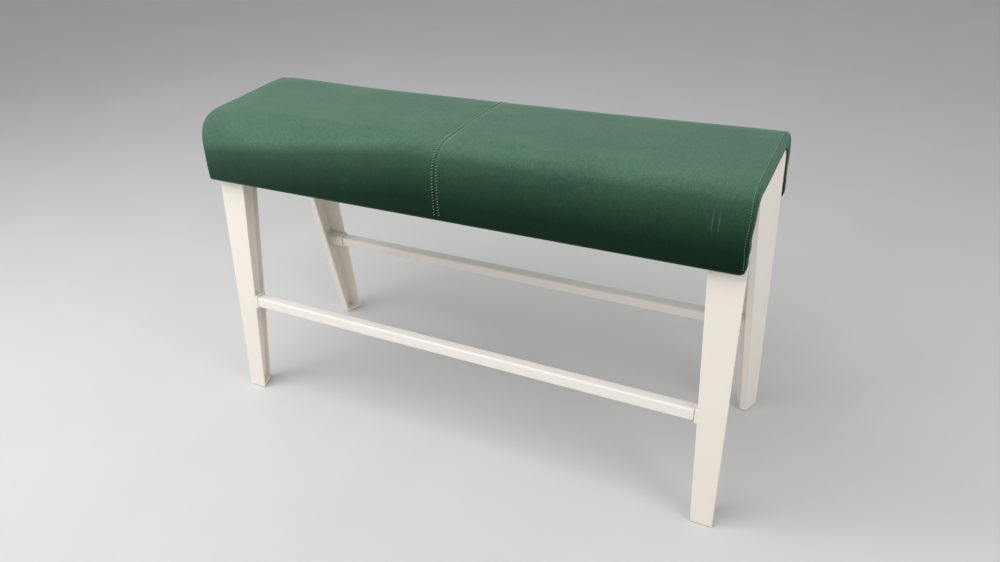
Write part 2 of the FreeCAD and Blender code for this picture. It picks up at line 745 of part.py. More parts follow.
def build_cover():
    """The whole cover before it is parted: skin, turned-up hems and sewn-in channels."""
    skin = seat_block(0).cut(seat_block(COVER)).cut(arch_block(GAP, SEAT_X, HEM_Z - 1.0))
    skin = skin.fuse([hem_strip(1), hem_strip(-1)])
    half_groove = size("seam_groove") / 2
    surface = seat_block(0).cut(seat_block(size("seam_depth")))
    seams = [slab(x - half_groove, x + half_groove, HEM_Z + 12.0, SEAT_TOP + 5.0)
             for x in (-END_SEAM_X, 0, END_SEAM_X)]
    return skin.cut(surface.common(Part.Compound(seams)))


add_part("seat_shell", build_shell())
add_part("seat_foam", build_foam())

cover = build_cover()
for hand, sign in MIRROR.items():
    inner, outer = sorted((sign * HALF_SEAM, sign * (END_SEAM_X - HALF_SEAM)))
    panel = cover.common(slab(inner, outer, HEM_Z - 5.0, SEAT_TOP + 5.0))
    add_part(f"cover_panel_{hand}", panel)
    inner, outer = sorted((sign * (END_SEAM_X + HALF_SEAM), sign * (SEAT_X + 1.0)))
    band = cover.common(slab(inner, outer, HEM_Z - 5.0, SEAT_TOP + 5.0))
    add_part(f"cover_end_band_{hand}", band)

liner_low = HEM_Z + size("hem_turn") + 1.0
liner = arch_block(0, BETWEEN_X, HEM_Z)
liner = liner.cut(arch_block(-size("liner_wall"), BETWEEN_X + 1.0, HEM_Z - 1.0))
liner = liner.common(slab(-BETWEEN_X, BETWEEN_X, liner_low, SEAT_TOP))
add_part("underside_liner", liner)

# Bolts, washers and tee nuts that hold the seat shell on the end frames

for name, point, out in fixings_both_ends():
    across = Vector(1, 0, 0)
    inside_wall = point - out * size("frame_wall")
    body = start_body(f"seat_washer_{name}")
    bore = "(Sizes.bolt_shank / 2 + Sizes.bore_fit)"
    rim = "(Sizes.washer_diameter / 2)"
    turn_profile(body, "washer", [
        (bore, "0"),
        (rim, "0"),
        (rim, "Sizes.washer_thickness"),
        (bore, "Sizes.washer_thickness"),
    ])
    body.Placement = frame_of(across, out * -1, inside_wall)

for name, point, out in fixings_both_ends():
    under_head = point - out * (size("frame_wall") + size("washer_thickness"))
    body = start_body(f"seat_bolt_{name}")
    head_height = "Sizes.bolt_head_height"
    head = "(Sizes.bolt_head / 2)"
    shank = "(Sizes.bolt_shank / 2)"
    end = "(Sizes.bolt_head_height + Sizes.bolt_length)"
    turn_profile(body, "bolt", [
        ("0", "0"),
        (f"({head} - 1.5)", "0"),
        (f"({head} - 0.4)", "0.8"),
        (head, f"({head_height} - 0.8)"),
        (head, head_height),
        (shank, head_height),
        (shank, f"({end} - 0.8)"),
        (f"({shank} - 0.8)", end),
        ("0", end),
    ])
    hexagon_socket(body, "key_socket", "Sizes.bolt_key", "2.2", "0", True)
    body.Placement = frame_of(across, out, under_head - out * size("bolt_head_height"))

for name, point, out in fixings_both_ends():
    body = start_body(f"tee_nut_{name}")
    bore = "(Sizes.bolt_shank / 2 + Sizes.thread_fit)"
    barrel = "(Sizes.nut_barrel / 2)"
    flange = "(Sizes.nut_flange / 2)"
    full = "(Sizes.nut_barrel_length + Sizes.nut_flange_thickness)"
    turn_profile(body, "tee_nut", [
        (bore, "0"),
        (barrel, "0"),
        (barrel, "Sizes.nut_barrel_length"),
        (flange, "Sizes.nut_barrel_length"),
        (flange, full),
        (bore, full),
    ])
    base = point + out * (SHELL_OUT - size("nut_barrel_length"))
    body.Placement = frame_of(Vector(1, 0, 0), out, base)

# Check every piece, then write one file for each

doc.recompute()
for piece in doc.Objects:
    if "Invalid" in piece.State or "Error" in piece.State:
        raise RuntimeError(f"{piece.Label} did not recompute: {piece.State}")
os.makedirs("parts", exist_ok=True)
for piece in NODES:
    if piece.Shape.isNull() or not piece.Shape.isValid() or not piece.Shape.Solids:
        raise RuntimeError(f"{piece.Label} has no valid shape")
    piece.Shape.exportStep(f"parts/{piece.Label}.step")
    print(f"{piece.Label}: {len(piece.Shape.Solids)} solid, {piece.Shape.Volume / 1000:.1f} cm3")
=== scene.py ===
import math

import bmesh
import bpy
import numpy as np
from mathutils import Matrix, Vector


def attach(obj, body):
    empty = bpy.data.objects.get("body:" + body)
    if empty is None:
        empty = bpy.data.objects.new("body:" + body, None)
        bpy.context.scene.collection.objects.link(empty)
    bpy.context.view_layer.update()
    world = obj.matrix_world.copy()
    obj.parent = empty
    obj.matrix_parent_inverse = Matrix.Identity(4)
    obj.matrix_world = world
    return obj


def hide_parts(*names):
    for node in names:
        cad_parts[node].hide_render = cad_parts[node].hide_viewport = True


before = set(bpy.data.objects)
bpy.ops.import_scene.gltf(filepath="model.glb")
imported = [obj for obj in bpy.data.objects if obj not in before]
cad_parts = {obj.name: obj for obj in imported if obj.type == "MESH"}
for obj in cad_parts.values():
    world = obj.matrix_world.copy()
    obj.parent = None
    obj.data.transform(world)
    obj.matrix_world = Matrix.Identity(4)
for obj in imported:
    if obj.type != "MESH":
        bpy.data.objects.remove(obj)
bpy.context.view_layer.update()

# Everything is drawn in millimetres, like the CAD model, and turned to metres in new_piece.
MM = 0.001
root = "root"

# End frames
FRAME_X = 596.5
FRAME_TOP = 674.5
FOOT_Z = 1.5
FOOT_HALF = 213.0
LEAN = math.radians(6.22)
INNER_LEAN = LEAN + math.radians(3.42)
LEG_DEPTH = 43.0
BEAM_DEPTH = 78.0
FRAME_CORNER = 34.0
INNER_CORNER = 30.0
WEB_SLANT = 0.34
OPEN_SLOPE = 0.3851
FRAME_WALL = 5.0
FOOT_PLATE = 6.0
EDGE_ROUND = 2.2
# Rails
RAIL_Z = 243.6
RAIL_HALF = 13.0
RAIL_ROUND = 4.5
RAIL_INSET = 1.2
BOSS_RIM = 3.6
BOSS_PROUD = 5.0
SHADOW_GAP = 1.0
PLUG_SHOULDER = 7.0
TUBE_WALL = 2.2
BORE_CORNER = 2.4
EDGE_BREAK = 0.35
BOSS_CORNER = 8.1
SCREW_HOLE_RADIUS = 3.1
SCREW_HOLE_X = 11.0
# Seat
SEAT_X = 599.5
SEAT_TOP = 705.75
CROWN = 3500.0
SHOULDER = 58.0
BULGE = 600.0
BELLY_Z = 580.0
HALF_DEPTH = 177.0
HEM_Z = 553.0
HEM_TURN = 27.0
SHELL_WALL = 10.0
ROLL = 9.0
SKIRT_CORNER = 17.0
LAYER_GAP = 0.15
COVER = 1.3
END_SEAM_X = 593.1
STITCH_PITCH = 5.9
STITCH_ROW = 5.0
SKIRT_Y = 130.0
HEM_LEVEL = 20
HEM_FLAT = 12.0
HEM_FOLD = 1.35
LINER_INSET = 0.6
LINER_CLOTH = 0.5
SMOOTH_ANGLE = 35.0


def leg_outer(z):
    """Half distance between the legs' outer faces at height z."""
    return FOOT_HALF - math.tan(LEAN) * z


def leg_inner(z):
    """Half distance between the legs' inner faces at height z."""
    return FOOT_HALF - LEG_DEPTH - math.tan(INNER_LEAN) * z


def flange_width(z):
    """Width of the outer flange, which grows upward."""
    at_floor, growth = 46.0, 0.0416
    return at_floor + growth * z


def ease(t):
    """Smooth step from 0 to 1."""
    t = np.clip(t, 0, 1)
    return t * t * (3 - 2 * t)


def rising(value, start, span):
    """0 up to start, 1 from start + span."""
    return ease((value - start) / span)


def falling(value, end, span):
    """1 up to end - span, 0 from end."""
    return ease((end - value) / span)


# Mesh helpers

def new_piece(name, verts, faces, smooth_angle=SMOOTH_ANGLE, weighted=True):
    """A mesh object from millimetre vertices."""
    mesh = bpy.data.meshes.new(name)
    mesh.from_pydata([tuple(MM * c for c in v) for v in verts], [], faces)
    mesh.validate()
    mesh.update()
    mesh.shade_smooth()
    mesh.set_sharp_from_angle(angle=math.radians(smooth_angle))
    piece = bpy.data.objects.new(name, mesh)
    bpy.context.scene.collection.objects.link(piece)
    if weighted:
        normals = piece.modifiers.new("even_faces", "WEIGHTED_NORMAL")
        normals.keep_sharp = True
    return piece


def merge_close(piece, distance):
    """Merges vertices closer than distance, and turns all faces outward."""
    bm = bmesh.new()
    bm.from_mesh(piece.data)
    bmesh.ops.remove_doubles(bm, verts=bm.verts, dist=distance * MM)
    bmesh.ops.dissolve_degenerate(bm, edges=bm.edges, dist=distance * MM)
    bmesh.ops.recalc_face_normals(bm, faces=bm.faces)
    bm.to_mesh(piece.data)
    bm.free()
    piece.data.shade_smooth()
    piece.data.set_sharp_from_angle(angle=math.radians(SMOOTH_ANGLE))


def apply_modifiers(piece):
    """Bakes a piece's modifiers into its mesh."""
    depsgraph = bpy.context.evaluated_depsgraph_get()
    mesh = bpy.data.meshes.new_from_object(piece.evaluated_get(depsgraph))
    piece.modifiers.clear()
    piece.data = mesh


def join(name, pieces):
    """Joins mesh objects into the first one."""
    with bpy.context.temp_override(
        active_object=pieces[0], object=pieces[0], selected_editable_objects=pieces,
        selected_objects=pieces,
    ):
        bpy.ops.object.join()
    pieces[0].name = name
    return pieces[0]


def loft_faces(rings, around, start=0):
    """Quads between neighbouring closed rings of the same length."""
    faces = []
    for r in range(rings - 1):
        for i in range(around):
            j = (i + 1) % around
            a = start + r * around
            b = a + around
            faces.append((a + i, a + j, b + j, b + i))
    return faces


def capped_loft(rings, around, start=0):
    """The same, with the first and the last ring closed by one face each."""
    end = start + (rings - 1) * around
    caps = [tuple(range(start, start + around))[::-1], tuple(range(end, end + around))]
    return loft_faces(rings, around, start) + caps


def loft_piece(name, rings, distance=0.01, weighted=True):
    """A closed mesh object through rings of points."""
    verts = [spot for ring in rings for spot in ring]
    piece = new_piece(name, verts, capped_loft(len(rings), len(rings[0])), weighted=weighted)
    merge_close(piece, distance)
    return piece


def grid_faces(rows, cols, start=0):
    """Quads of a grid whose vertices are counted row by row."""
    faces = []
    for i in range(rows - 1):
        for j in range(cols - 1):
            a = start + i * cols + j
            faces.append((a, a + cols, a + cols + 1, a + 1))
    return faces


def round_corners(points, radii, steps):
    """A closed 2D outline with each corner replaced by an arc."""
    out = []
    count = len(points)
    for i in range(count):
        p = np.array(points[i], float)
        a = np.array(points[i - 1], float) - p
        b = np.array(points[(i + 1) % count], float) - p
        a /= np.linalg.norm(a)
        b /= np.linalg.norm(b)
        half = math.acos(max(-1.0, min(1.0, float(a @ b)))) / 2
        middle = (a + b) / np.linalg.norm(a + b)
        centre = p + middle * radii[i] / math.sin(half)
        first = p + a * radii[i] / math.tan(half) - centre
        last = p + b * radii[i] / math.tan(half) - centre
        turn = math.atan2(first[0] * last[1] - first[1] * last[0], float(first @ last))
        for k in range(steps + 1):
            w = turn * k / steps
            c, s = math.cos(w), math.sin(w)
            spun = (first[0] * c - first[1] * s, first[0] * s + first[1] * c)
            out.append((centre[0] + spun[0], centre[1] + spun[1]))
    return out


# End frame: the channel section is swept from one foot over the beam to the other

OUTER_CZ = FRAME_TOP - FRAME_CORNER
OUTER_CY = leg_outer(OUTER_CZ) - FRAME_CORNER / math.cos(LEAN)
INNER_CZ = FRAME_TOP - BEAM_DEPTH - INNER_CORNER
INNER_CY = leg_inner(INNER_CZ) - INNER_CORNER / math.cos(INNER_LEAN)
OUTER_TURN = math.pi / 2 - LEAN
INNER_TURN = math.pi / 2 - INNER_LEAN
PLATE_TOP = FOOT_Z + FOOT_PLATE
CORNER_STEPS = 4


def section_depth(y, z):
    """Distance below the frame's outer outline."""
    y = abs(y)
    from_leg = (leg_outer(z) - y) * math.cos(LEAN)
    from_top = FRAME_TOP - z
    if y > OUTER_CY and z > OUTER_CZ:
        return FRAME_CORNER - math.hypot(y - OUTER_CY, z - OUTER_CZ)
    return min(from_leg, from_top)


def frame_stations():
    """Pairs of points (outer, inner) along the frame, from the front foot to the rear."""
    half = []
    outer_end = OUTER_CZ + FRAME_CORNER * math.cos(OUTER_TURN)
    inner_end = INNER_CZ + INNER_CORNER * math.cos(INNER_TURN)
    for u in np.linspace(0, 1, 12):
        zo = PLATE_TOP + u * (outer_end - PLATE_TOP)
        zi = PLATE_TOP + u * (inner_end - PLATE_TOP)
        half.append(((leg_outer(zo), zo), (leg_inner(zi), zi)))
    for u in np.linspace(0, 1, 15)[1:]:
        a = OUTER_TURN * (1 - u)
        b = INNER_TURN * (1 - u)
        outer = (OUTER_CY + FRAME_CORNER * math.sin(a), OUTER_CZ + FRAME_CORNER * math.cos(a))
        inner = (INNER_CY + INNER_CORNER * math.sin(b), INNER_CZ + INNER_CORNER * math.cos(b))
        half.append((outer, inner))
    for u in (0.33, 0.66, 1.0):
        half.append(((OUTER_CY * (1 - u), FRAME_TOP), (INNER_CY * (1 - u), FRAME_TOP - BEAM_DEPTH)))
    mirrored = [((-o[0], o[1]), (-i[0], i[1])) for o, i in half[:-1]]
    return mirrored + half[::-1]


def channel_ring(outer, inner, filled=False, shrink=0.0):
    """The rounded U section at one station, as 3D points; filled closes its mouth."""
    o = np.array(outer)
    i = np.array(inner)
    length = np.linalg.norm(i - o)
    along = (i - o) / length
    depth = section_depth(*inner)
    level = depth / length
    wall = FRAME_WALL / level
    if outer[1] > OUTER_CZ and abs(outer[0]) > OUTER_CY:
        wall = FRAME_WALL
    inner_wall = FRAME_WALL * 1.01
    web = FRAME_WALL * math.hypot(1, WEB_SLANT)

    def web_x(a):
        return -WEB_SLANT * depth * a / length

    def open_x(a):
        z = outer[1] + along[1] * a
        return -(flange_width(z) - OPEN_SLOPE * depth * a / length)

    points = [
        (0, 0),
        (length, web_x(length)),
        (length, open_x(length)),
        (length - inner_wall, open_x(length - inner_wall)),
        (length - inner_wall, web_x(length - inner_wall) - web),
        (wall, web_x(wall) - web),
        (wall, open_x(wall)),
        (0, open_x(0)),
    ]
    lip, root_fillet = 2.0, 3.0
    radii = [EDGE_ROUND, EDGE_ROUND, lip, lip, root_fillet, root_fillet, lip, lip]
    ring = round_corners(points, radii, CORNER_STEPS)
    if filled:
        first = 3 * (CORNER_STEPS + 1)
        last = 7 * (CORNER_STEPS + 1)
        ring[first:last] = [(a, open_x(a)) for a, x in ring[first:last]]
    centre = np.mean(ring, axis=0)
    spots = []
    for a, x in ring:
        if shrink:
            away = np.array((a, x)) - centre
            a, x = centre + away * (1 - shrink / np.linalg.norm(away))
        y, z = o + along * a
        spots.append((FRAME_X + x, y, z))
    return spots


def foot_ring(side, z, shrink=0.0):
    """The solid section through a foot plate at height z."""
    outer = (side * leg_outer(z), z)
    inner = (side * leg_inner(z), z)
    return channel_ring(outer, inner, filled=True, shrink=shrink)


def channel_mesh(name):
    """The frame's channel with both foot plates, from the front foot to the rear one."""
    edge, bevel = 0.9, 1.0
    rings = [foot_ring(-1, FOOT_Z, bevel), foot_ring(-1, FOOT_Z + edge), foot_ring(-1, PLATE_TOP)]
    rings += [channel_ring(outer, inner) for outer, inner in frame_stations()]
    rings += [foot_ring(1, PLATE_TOP), foot_ring(1, FOOT_Z + edge), foot_ring(1, FOOT_Z, bevel)]
    return loft_piece(name, rings)


def leg_point(side, u, v, x):
    """A point beside the rail axis: u outward from the leg, v up along it."""
    axis_y = leg_outer(RAIL_Z) - (RAIL_INSET + RAIL_HALF) / math.cos(LEAN)
    y = axis_y + u * math.cos(LEAN) - v * math.sin(LEAN)
    z = RAIL_Z + u * math.sin(LEAN) + v * math.cos(LEAN)
    return (x, side * y, z)


def rounded_square(half, corner, steps=6):
    """Outline (u, v) of a square bar."""
    square = [(half, -half), (half, half), (-half, half), (-half, -half)]
    return round_corners(square, [corner] * 4, steps)


BOSS_X = FRAME_X - flange_width(RAIL_Z) - BOSS_PROUD


def boss_mesh(name, side):
    """The boss that takes the rail's end, cut off flat before the leg's outer face."""
    half = RAIL_HALF + BOSS_RIM
    to_face = RAIL_HALF + RAIL_INSET
    clear, sunk = 0.6, 2.5
    rings = []
    for inset, x in ((3.0, 0.0), (1.3, 0.0), (0.6, 0.15), (0.15, 0.6), (0.0, 1.3)):
        outline = rounded_square(half - inset, BOSS_CORNER - inset * 0.6)
        limit = to_face - clear - inset
        rings.append([leg_point(side, min(u, limit), v, BOSS_X + x) for u, v in outline])
    last = []
    for u, v in rounded_square(half, BOSS_CORNER):
        u = min(u, to_face - clear)
        end = FRAME_X - WEB_SLANT * (to_face - u) - sunk
        last.append(leg_point(side, u, v, end))
    rings.append(last)
    return loft_piece(name, rings, 0.02)


def bore_boss(piece, side):
    """Opens the lock screw's hole in the boss's underside."""
    past, around = 3.0, 24
    rings = []
    for v in (-RAIL_HALF - BOSS_RIM - past, -RAIL_HALF + past):
        ring = []
        for k in range(around):
            w = 2 * math.pi * k / around
            u = SCREW_HOLE_RADIUS * math.cos(w)
            x = BOSS_X + SCREW_HOLE_X + SCREW_HOLE_RADIUS * math.sin(w)
            ring.append(leg_point(side, u, v, x))
        rings.append(ring)
    cutter = loft_piece("hole_cutter", rings, weighted=False)
    cut = piece.modifiers.new("hole", "BOOLEAN")
    cut.object = cutter
    cut.operation = "DIFFERENCE"
    cut.solver = "EXACT"
    apply_modifiers(piece)
    bpy.data.objects.remove(cutter)


def mirror_x(piece):
    """Turns a right-hand mesh into the left-hand one."""
    piece.data.transform(Matrix.Scale(-1, 4, Vector((1, 0, 0))))
    piece.data.flip_normals()


def end_frame(hand):
    """One end frame: the channel and its two bosses."""
    pieces = [channel_mesh(f"frame_casting_{hand}")]
    for side, depth in ((1, "rear"), (-1, "front")):
        boss = boss_mesh(f"boss_{depth}_{hand}", side)
        bore_boss(boss, side)
        pieces.append(boss)
    whole = join(f"end_frame_{hand}", pieces)
    if hand == "left":
        mirror_x(whole)
    return whole


# Rails and plugs

PLUG_END_X = BOSS_X - SHADOW_GAP
TUBE_X = PLUG_END_X - PLUG_SHOULDER


def bar_mesh(name, side, stations, hand=1):
    """A rounded square bar along the rail axis; stations are (x, half, corner)."""
    rings = []
    for x, half, corner in stations:
        rings.append([leg_point(side, u, v, hand * x) for u, v in rounded_square(half, corner)])
    return loft_piece(name, rings)


def rail(depth, side):
    """A foot rail's tube, hollow for 30 mm at each end."""
    bore = RAIL_HALF - TUBE_WALL
    blind = TUBE_X - 30
    stations = [
        (-blind, bore, BORE_CORNER), (-TUBE_X, bore, BORE_CORNER),
        (-TUBE_X, RAIL_HALF - EDGE_BREAK, RAIL_ROUND),
        (-TUBE_X + EDGE_BREAK, RAIL_HALF, RAIL_ROUND),
        (TUBE_X - EDGE_BREAK, RAIL_HALF, RAIL_ROUND),
        (TUBE_X, RAIL_HALF - EDGE_BREAK, RAIL_ROUND),
        (TUBE_X, bore, BORE_CORNER), (blind, bore, BORE_CORNER),
    ]
    return bar_mesh(f"{depth}_rail_tube", side, stations)


def plug(depth, side, hand, sign):
    """A plug: its tail in the tube, its shoulder in sight and its tenon in the boss."""
    seam, edge, steps = 0.15, 1.6, 4
    tail, tail_corner = 10.6, 2.3
    tenon, tenon_corner = 7.5, 1.6
    stations = [
        (TUBE_X - 28, tail, tail_corner), (TUBE_X + seam, tail, tail_corner),
        (TUBE_X + seam, RAIL_HALF - EDGE_BREAK, RAIL_ROUND), (TUBE_X + 0.5, RAIL_HALF, RAIL_ROUND),
    ]
    for k in range(steps + 1):
        w = math.pi / 2 * k / steps
        inset = edge * (1 - math.cos(w))
        x = PLUG_END_X - edge + edge * math.sin(w)
        stations.append((x, RAIL_HALF - inset, RAIL_ROUND - inset))
    stations += [(PLUG_END_X, tenon, tenon_corner), (PLUG_END_X + 23, tenon, tenon_corner)]
    return bar_mesh(f"plug_{depth}_{hand}", side, stations, sign)


# Seat: the cover is drawn over (x, s, q): x along the bench, s along the outer profile
# from the middle of the top (positive to the rear), q depth below the surface.

BELLY_CY = HALF_DEPTH - BULGE
ROOF_CZ = SEAT_TOP - CROWN


def shoulder_centre():
    """Centre (y, z) of the arc that touches the roof's arc and the skirt's arc."""
    to_roof = CROWN - SHOULDER
    to_belly = BULGE - SHOULDER
    dy = BELLY_CY
    dz = BELLY_Z - ROOF_CZ
    apart = math.hypot(dy, dz)
    along = (apart ** 2 + to_roof ** 2 - to_belly ** 2) / (2 * apart)
    aside = math.sqrt(to_roof ** 2 - along ** 2)
    return ((dy * along + dz * aside) / apart, ROOF_CZ + (dz * along - dy * aside) / apart)


SHOULDER_CY, SHOULDER_CZ = shoulder_centre()
TIP = math.atan2(SHOULDER_CY, SHOULDER_CZ - ROOF_CZ)
DROP = math.atan2(SHOULDER_CY - BELLY_CY, SHOULDER_CZ - BELLY_Z)
HEM_ANGLE = math.pi / 2 + math.asin((BELLY_Z - HEM_Z) / BULGE)
S_ROOF = CROWN * TIP
S_SHOULDER = S_ROOF + SHOULDER * (DROP - TIP)
S_HEM = S_SHOULDER + BULGE * (HEM_ANGLE - DROP)


def arc_profile(s):
    """Points and outward normals on the three-arc profile, as arrays (y, z, ny, nz)."""
    side = np.sign(s)
    a = np.abs(s)
    roof = a / CROWN
    shoulder = TIP + (a - S_ROOF) / SHOULDER
    belly = DROP + (a - S_SHOULDER) / BULGE
    angle = np.where(a < S_ROOF, roof, np.where(a < S_SHOULDER, shoulder, belly))
    radius = np.where(a < S_ROOF, CROWN, np.where(a < S_SHOULDER, SHOULDER, BULGE))
    cy = np.where(a < S_ROOF, 0.0, np.where(a < S_SHOULDER, SHOULDER_CY, BELLY_CY))
    cz = np.where(a < S_ROOF, ROOF_CZ, np.where(a < S_SHOULDER, SHOULDER_CZ, BELLY_Z))
    y = cy + radius * np.sin(angle)
    z = cz + radius * np.cos(angle)
    side = np.where(side == 0, 1.0, side)
    return side * y, z, side * np.sin(angle), np.cos(angle)


def profile(s):
    """The same with its changes of curvature evened out, as padding does."""
    reach = 11.0
    s = np.asarray(s, float)
    total = 0.0
    for step, weight in zip(range(-3, 4), (1, 6, 15, 20, 15, 6, 1)):
        total = total + weight / 64 * np.stack(arc_profile(s + reach * step))
    y, z, ny, nz = total
    length = np.hypot(ny, nz)
    return y, z, ny / length, nz / length


def over_frame(y, z):
    """Signed distance outside the frames' outer outline."""
    y = np.abs(y)
    leg = (y - leg_outer(z)) * math.cos(LEAN)
    top = z - FRAME_TOP
    corner = np.hypot(y - OUTER_CY, z - OUTER_CZ) - FRAME_CORNER
    bearing = np.arctan2(y - OUTER_CY, z - OUTER_CZ)
    flat = np.where(y < OUTER_CY, top, leg)
    in_corner = (bearing > 0) & (bearing < OUTER_TURN)
    return np.where(in_corner, corner, flat)


def padding_depth(s):
    """Depth from the outer profile down to the frames' outline, for each s."""
    deepest = 45.0
    y, z, ny, nz = profile(s)
    low = np.zeros_like(y)
    high = np.full_like(y, deepest)
    for _ in range(30):
        middle = (low + high) / 2
        outside = over_frame(y - ny * middle, z - nz * middle) > LAYER_GAP
        low = np.where(outside, middle, low)
        high = np.where(outside, high, middle)
    return low


def seat_points(x, s, q):
    """3D points for arrays of x, s and depth q; past the hem they go straight down."""
    s = np.asarray(s, float)
    inside = np.clip(s, -S_HEM, S_HEM)
    beyond = s - inside
    y, z, ny, nz = profile(inside)
    level = rising(np.abs(s), S_HEM - HEM_LEVEL, HEM_LEVEL)
    y = y - ny * q
    z = z - nz * q * (1 - level)
    z = z - np.abs(beyond)
    return np.stack([np.broadcast_to(x, y.shape), y, z], axis=-1)


def end_seam_x(s):
    """Where the end seam runs, a little further out at the top of the skirts."""
    a = np.abs(s)
    outward = 1.8
    return END_SEAM_X + outward * (rising(a, 150, 50) - rising(a, 215, 90))


def add_cloth(piece, pinned, frames):
    """Light pressure from below, without gravity, on a cloth held where it is pinned."""
    cloth = piece.modifiers.new("cloth", "CLOTH")
    settings = cloth.settings
    settings.quality = 6
    settings.mass = 0.3
    settings.tension_stiffness = 40
    settings.compression_stiffness = 40
    settings.shear_stiffness = 15
    settings.bending_stiffness = 2.0
    settings.use_pressure = True
    settings.uniform_pressure_force = 4.0
    settings.vertex_group_mass = pinned.name
    settings.effector_weights.gravity = 0.0
    cloth.collision_settings.use_collision = False
    cloth.point_cache.frame_start = 1
    cloth.point_cache.frame_end = frames


def simulate_bulge():
    """Cloth blown up gently between its seams; returns a grid of travel along the normal."""
    rows, cols, frames = 101, 57, 20
    hem_gap = 8
    passes, highest, softness = 4, 2.4, 0.8
    xs = np.linspace(-END_SEAM_X, END_SEAM_X, rows)
    ss = np.linspace(-(S_HEM - hem_gap), S_HEM - hem_gap, cols)
    grid_x, grid_s = np.meshgrid(xs, ss, indexing="ij")
    points = seat_points(grid_x, grid_s, np.zeros_like(grid_x))
    verts = points.reshape(-1, 3)
    piece = new_piece("bulge_trial", verts, grid_faces(rows, cols), weighted=False)
    pinned = piece.vertex_groups.new(name="pinned")
    held = []
    for i in range(rows):
        for j in range(cols):
            if i in (0, rows // 2, rows - 1) or j in (0, cols - 1):
                held.append(i * cols + j)
    pinned.add(held, 1.0, "REPLACE")
    add_cloth(piece, pinned, frames)
    scene = bpy.context.scene
    scene.frame_start = 1
    scene.frame_end = frames
    for number in range(1, frames + 1):
        scene.frame_set(number)
    settled = piece.evaluated_get(bpy.context.evaluated_depsgraph_get())
    moved = np.empty(len(settled.data.vertices) * 3)
    settled.data.vertices.foreach_get("co", moved)
    moved = moved.reshape(rows, cols, 3) / MM
    _, _, ny, nz = profile(grid_s)
    travel = (moved[..., 1] - points[..., 1]) * ny + (moved[..., 2] - points[..., 2]) * nz
    scene.frame_set(1)
    bpy.data.objects.remove(piece)
    for _ in range(passes):
        travel[:, 1:-1] = (travel[:, :-2] + 2 * travel[:, 1:-1] + travel[:, 2:]) / 4
    travel = 0.5 * (travel + np.sqrt(travel ** 2 + softness ** 2) - softness)
    travel = highest * np.tanh(travel / highest)
    return xs, ss, travel


BULGE_X, BULGE_S, BULGE_GRID = simulate_bulge()


def bulge_at(x, s):
    """The cloth's travel at any (x, s), read from the grid."""
    fx = np.interp(x, BULGE_X, np.arange(len(BULGE_X)))
    fs = np.interp(s, BULGE_S, np.arange(len(BULGE_S)))
    i = np.clip(fx.astype(int), 0, len(BULGE_X) - 2)
    j = np.clip(fs.astype(int), 0, len(BULGE_S) - 2)
    u = fx - i
    v = fs - j
    g = BULGE_GRID
    return ((g[i, j] * (1 - u) + g[i + 1, j] * u) * (1 - v)
            + (g[i, j + 1] * (1 - u) + g[i + 1, j + 1] * u) * v)


def dent(distance, half_width, depth):
    """A smooth groove, depth at distance 0 and gone at half_width."""
    t = np.clip(1 - np.abs(distance) / half_width, 0, 1)
    return depth * t * t * (3 - 2 * t)


def surface_relief(x, s):
    """How far the sewn cover stands above (+) the smooth envelope."""
    groove_half, groove_depth, shallower = 1.4, 0.8, 0.6
    valley_half, valley_depth = 9.0, 0.3
    stitch_half, stitch_pull = 3.2, 0.30
    fine_half, fine_depth = 0.9, 0.6
    ridge_off, ridge_half, ridge_height = 1.6, 1.4, 0.18
    pucker_height, pucker_fade = 0.10, 14.0
    out = bulge_at(x, s)
    # The centre seam: a narrow groove, shallower across the top, in a wide valley
    depth = groove_depth - shallower * falling(np.abs(s), 95, 60)
    out -= dent(x, groove_half, depth) + dent(x, valley_half, valley_depth)
    beat = np.cos(2 * math.pi * s / STITCH_PITCH)
    for row in (-STITCH_ROW, STITCH_ROW):
        out += dent(x - row, stitch_half, stitch_pull) * beat
    # The end seam: a fine groove and the ridge of its allowance
    off = np.abs(x) - end_seam_x(s)
    out -= dent(off, fine_half, fine_depth)
    out += dent(off - ridge_off, ridge_half, ridge_height)
    pucker = np.exp(-np.abs(x) / pucker_fade) * pucker_height
    out += pucker * np.sin(s * 0.43 + 1.3 * np.sin(s * 0.11)) * (np.abs(x) > 1.5)
    return out


def settle(points):
    """The seat's own uneven spots: a skirt edge pulled in, and a left end fuller to the rear."""
    x, y, z = points[..., 0], points[..., 1], points[..., 2]
    front_right = (x > 0) & (y < -SKIRT_Y)
    # The ends' waists, drawn in most at the front right corner
    waist, front_waist, waist_z, waist_reach = 1.0, 2.9, 614, 24
    drawn_in = np.where(front_right, front_waist, np.where(np.abs(y) > SKIRT_Y, waist, 0.0))
    near_end = rising(np.abs(x), 535, 60)
    x = x - np.sign(x) * drawn_in * near_end * np.exp(-((z - waist_z) / waist_reach) ** 2)
    # The whole left end, further out, and the hem at the front right corner, pulled in
    longer, hem_pull = 5.5, 3.2
    x = x - longer * rising(-x, 400, 200)
    x = x - hem_pull * front_right * rising(x, 591, 8.5) * falling(z, 606, 26)
    # The top, higher to the rear, but not at the rear left corner
    left, right, off_middle, sunk = 4.6, 2.8, 0.7, 3.0
    fuller = left * rising(-x, 300, 280) + right * rising(x, 200, 350)
    fuller = fuller + off_middle * rising(np.abs(x), 0, 120)
    fuller = fuller * rising(y, -60, 180)
    corner = sunk * rising(-x, 572, 32) * rising(y, 105, 45)
    z = z + (fuller - corner) * rising(z, 620, 60)
    return np.stack([x, y, z], axis=-1)


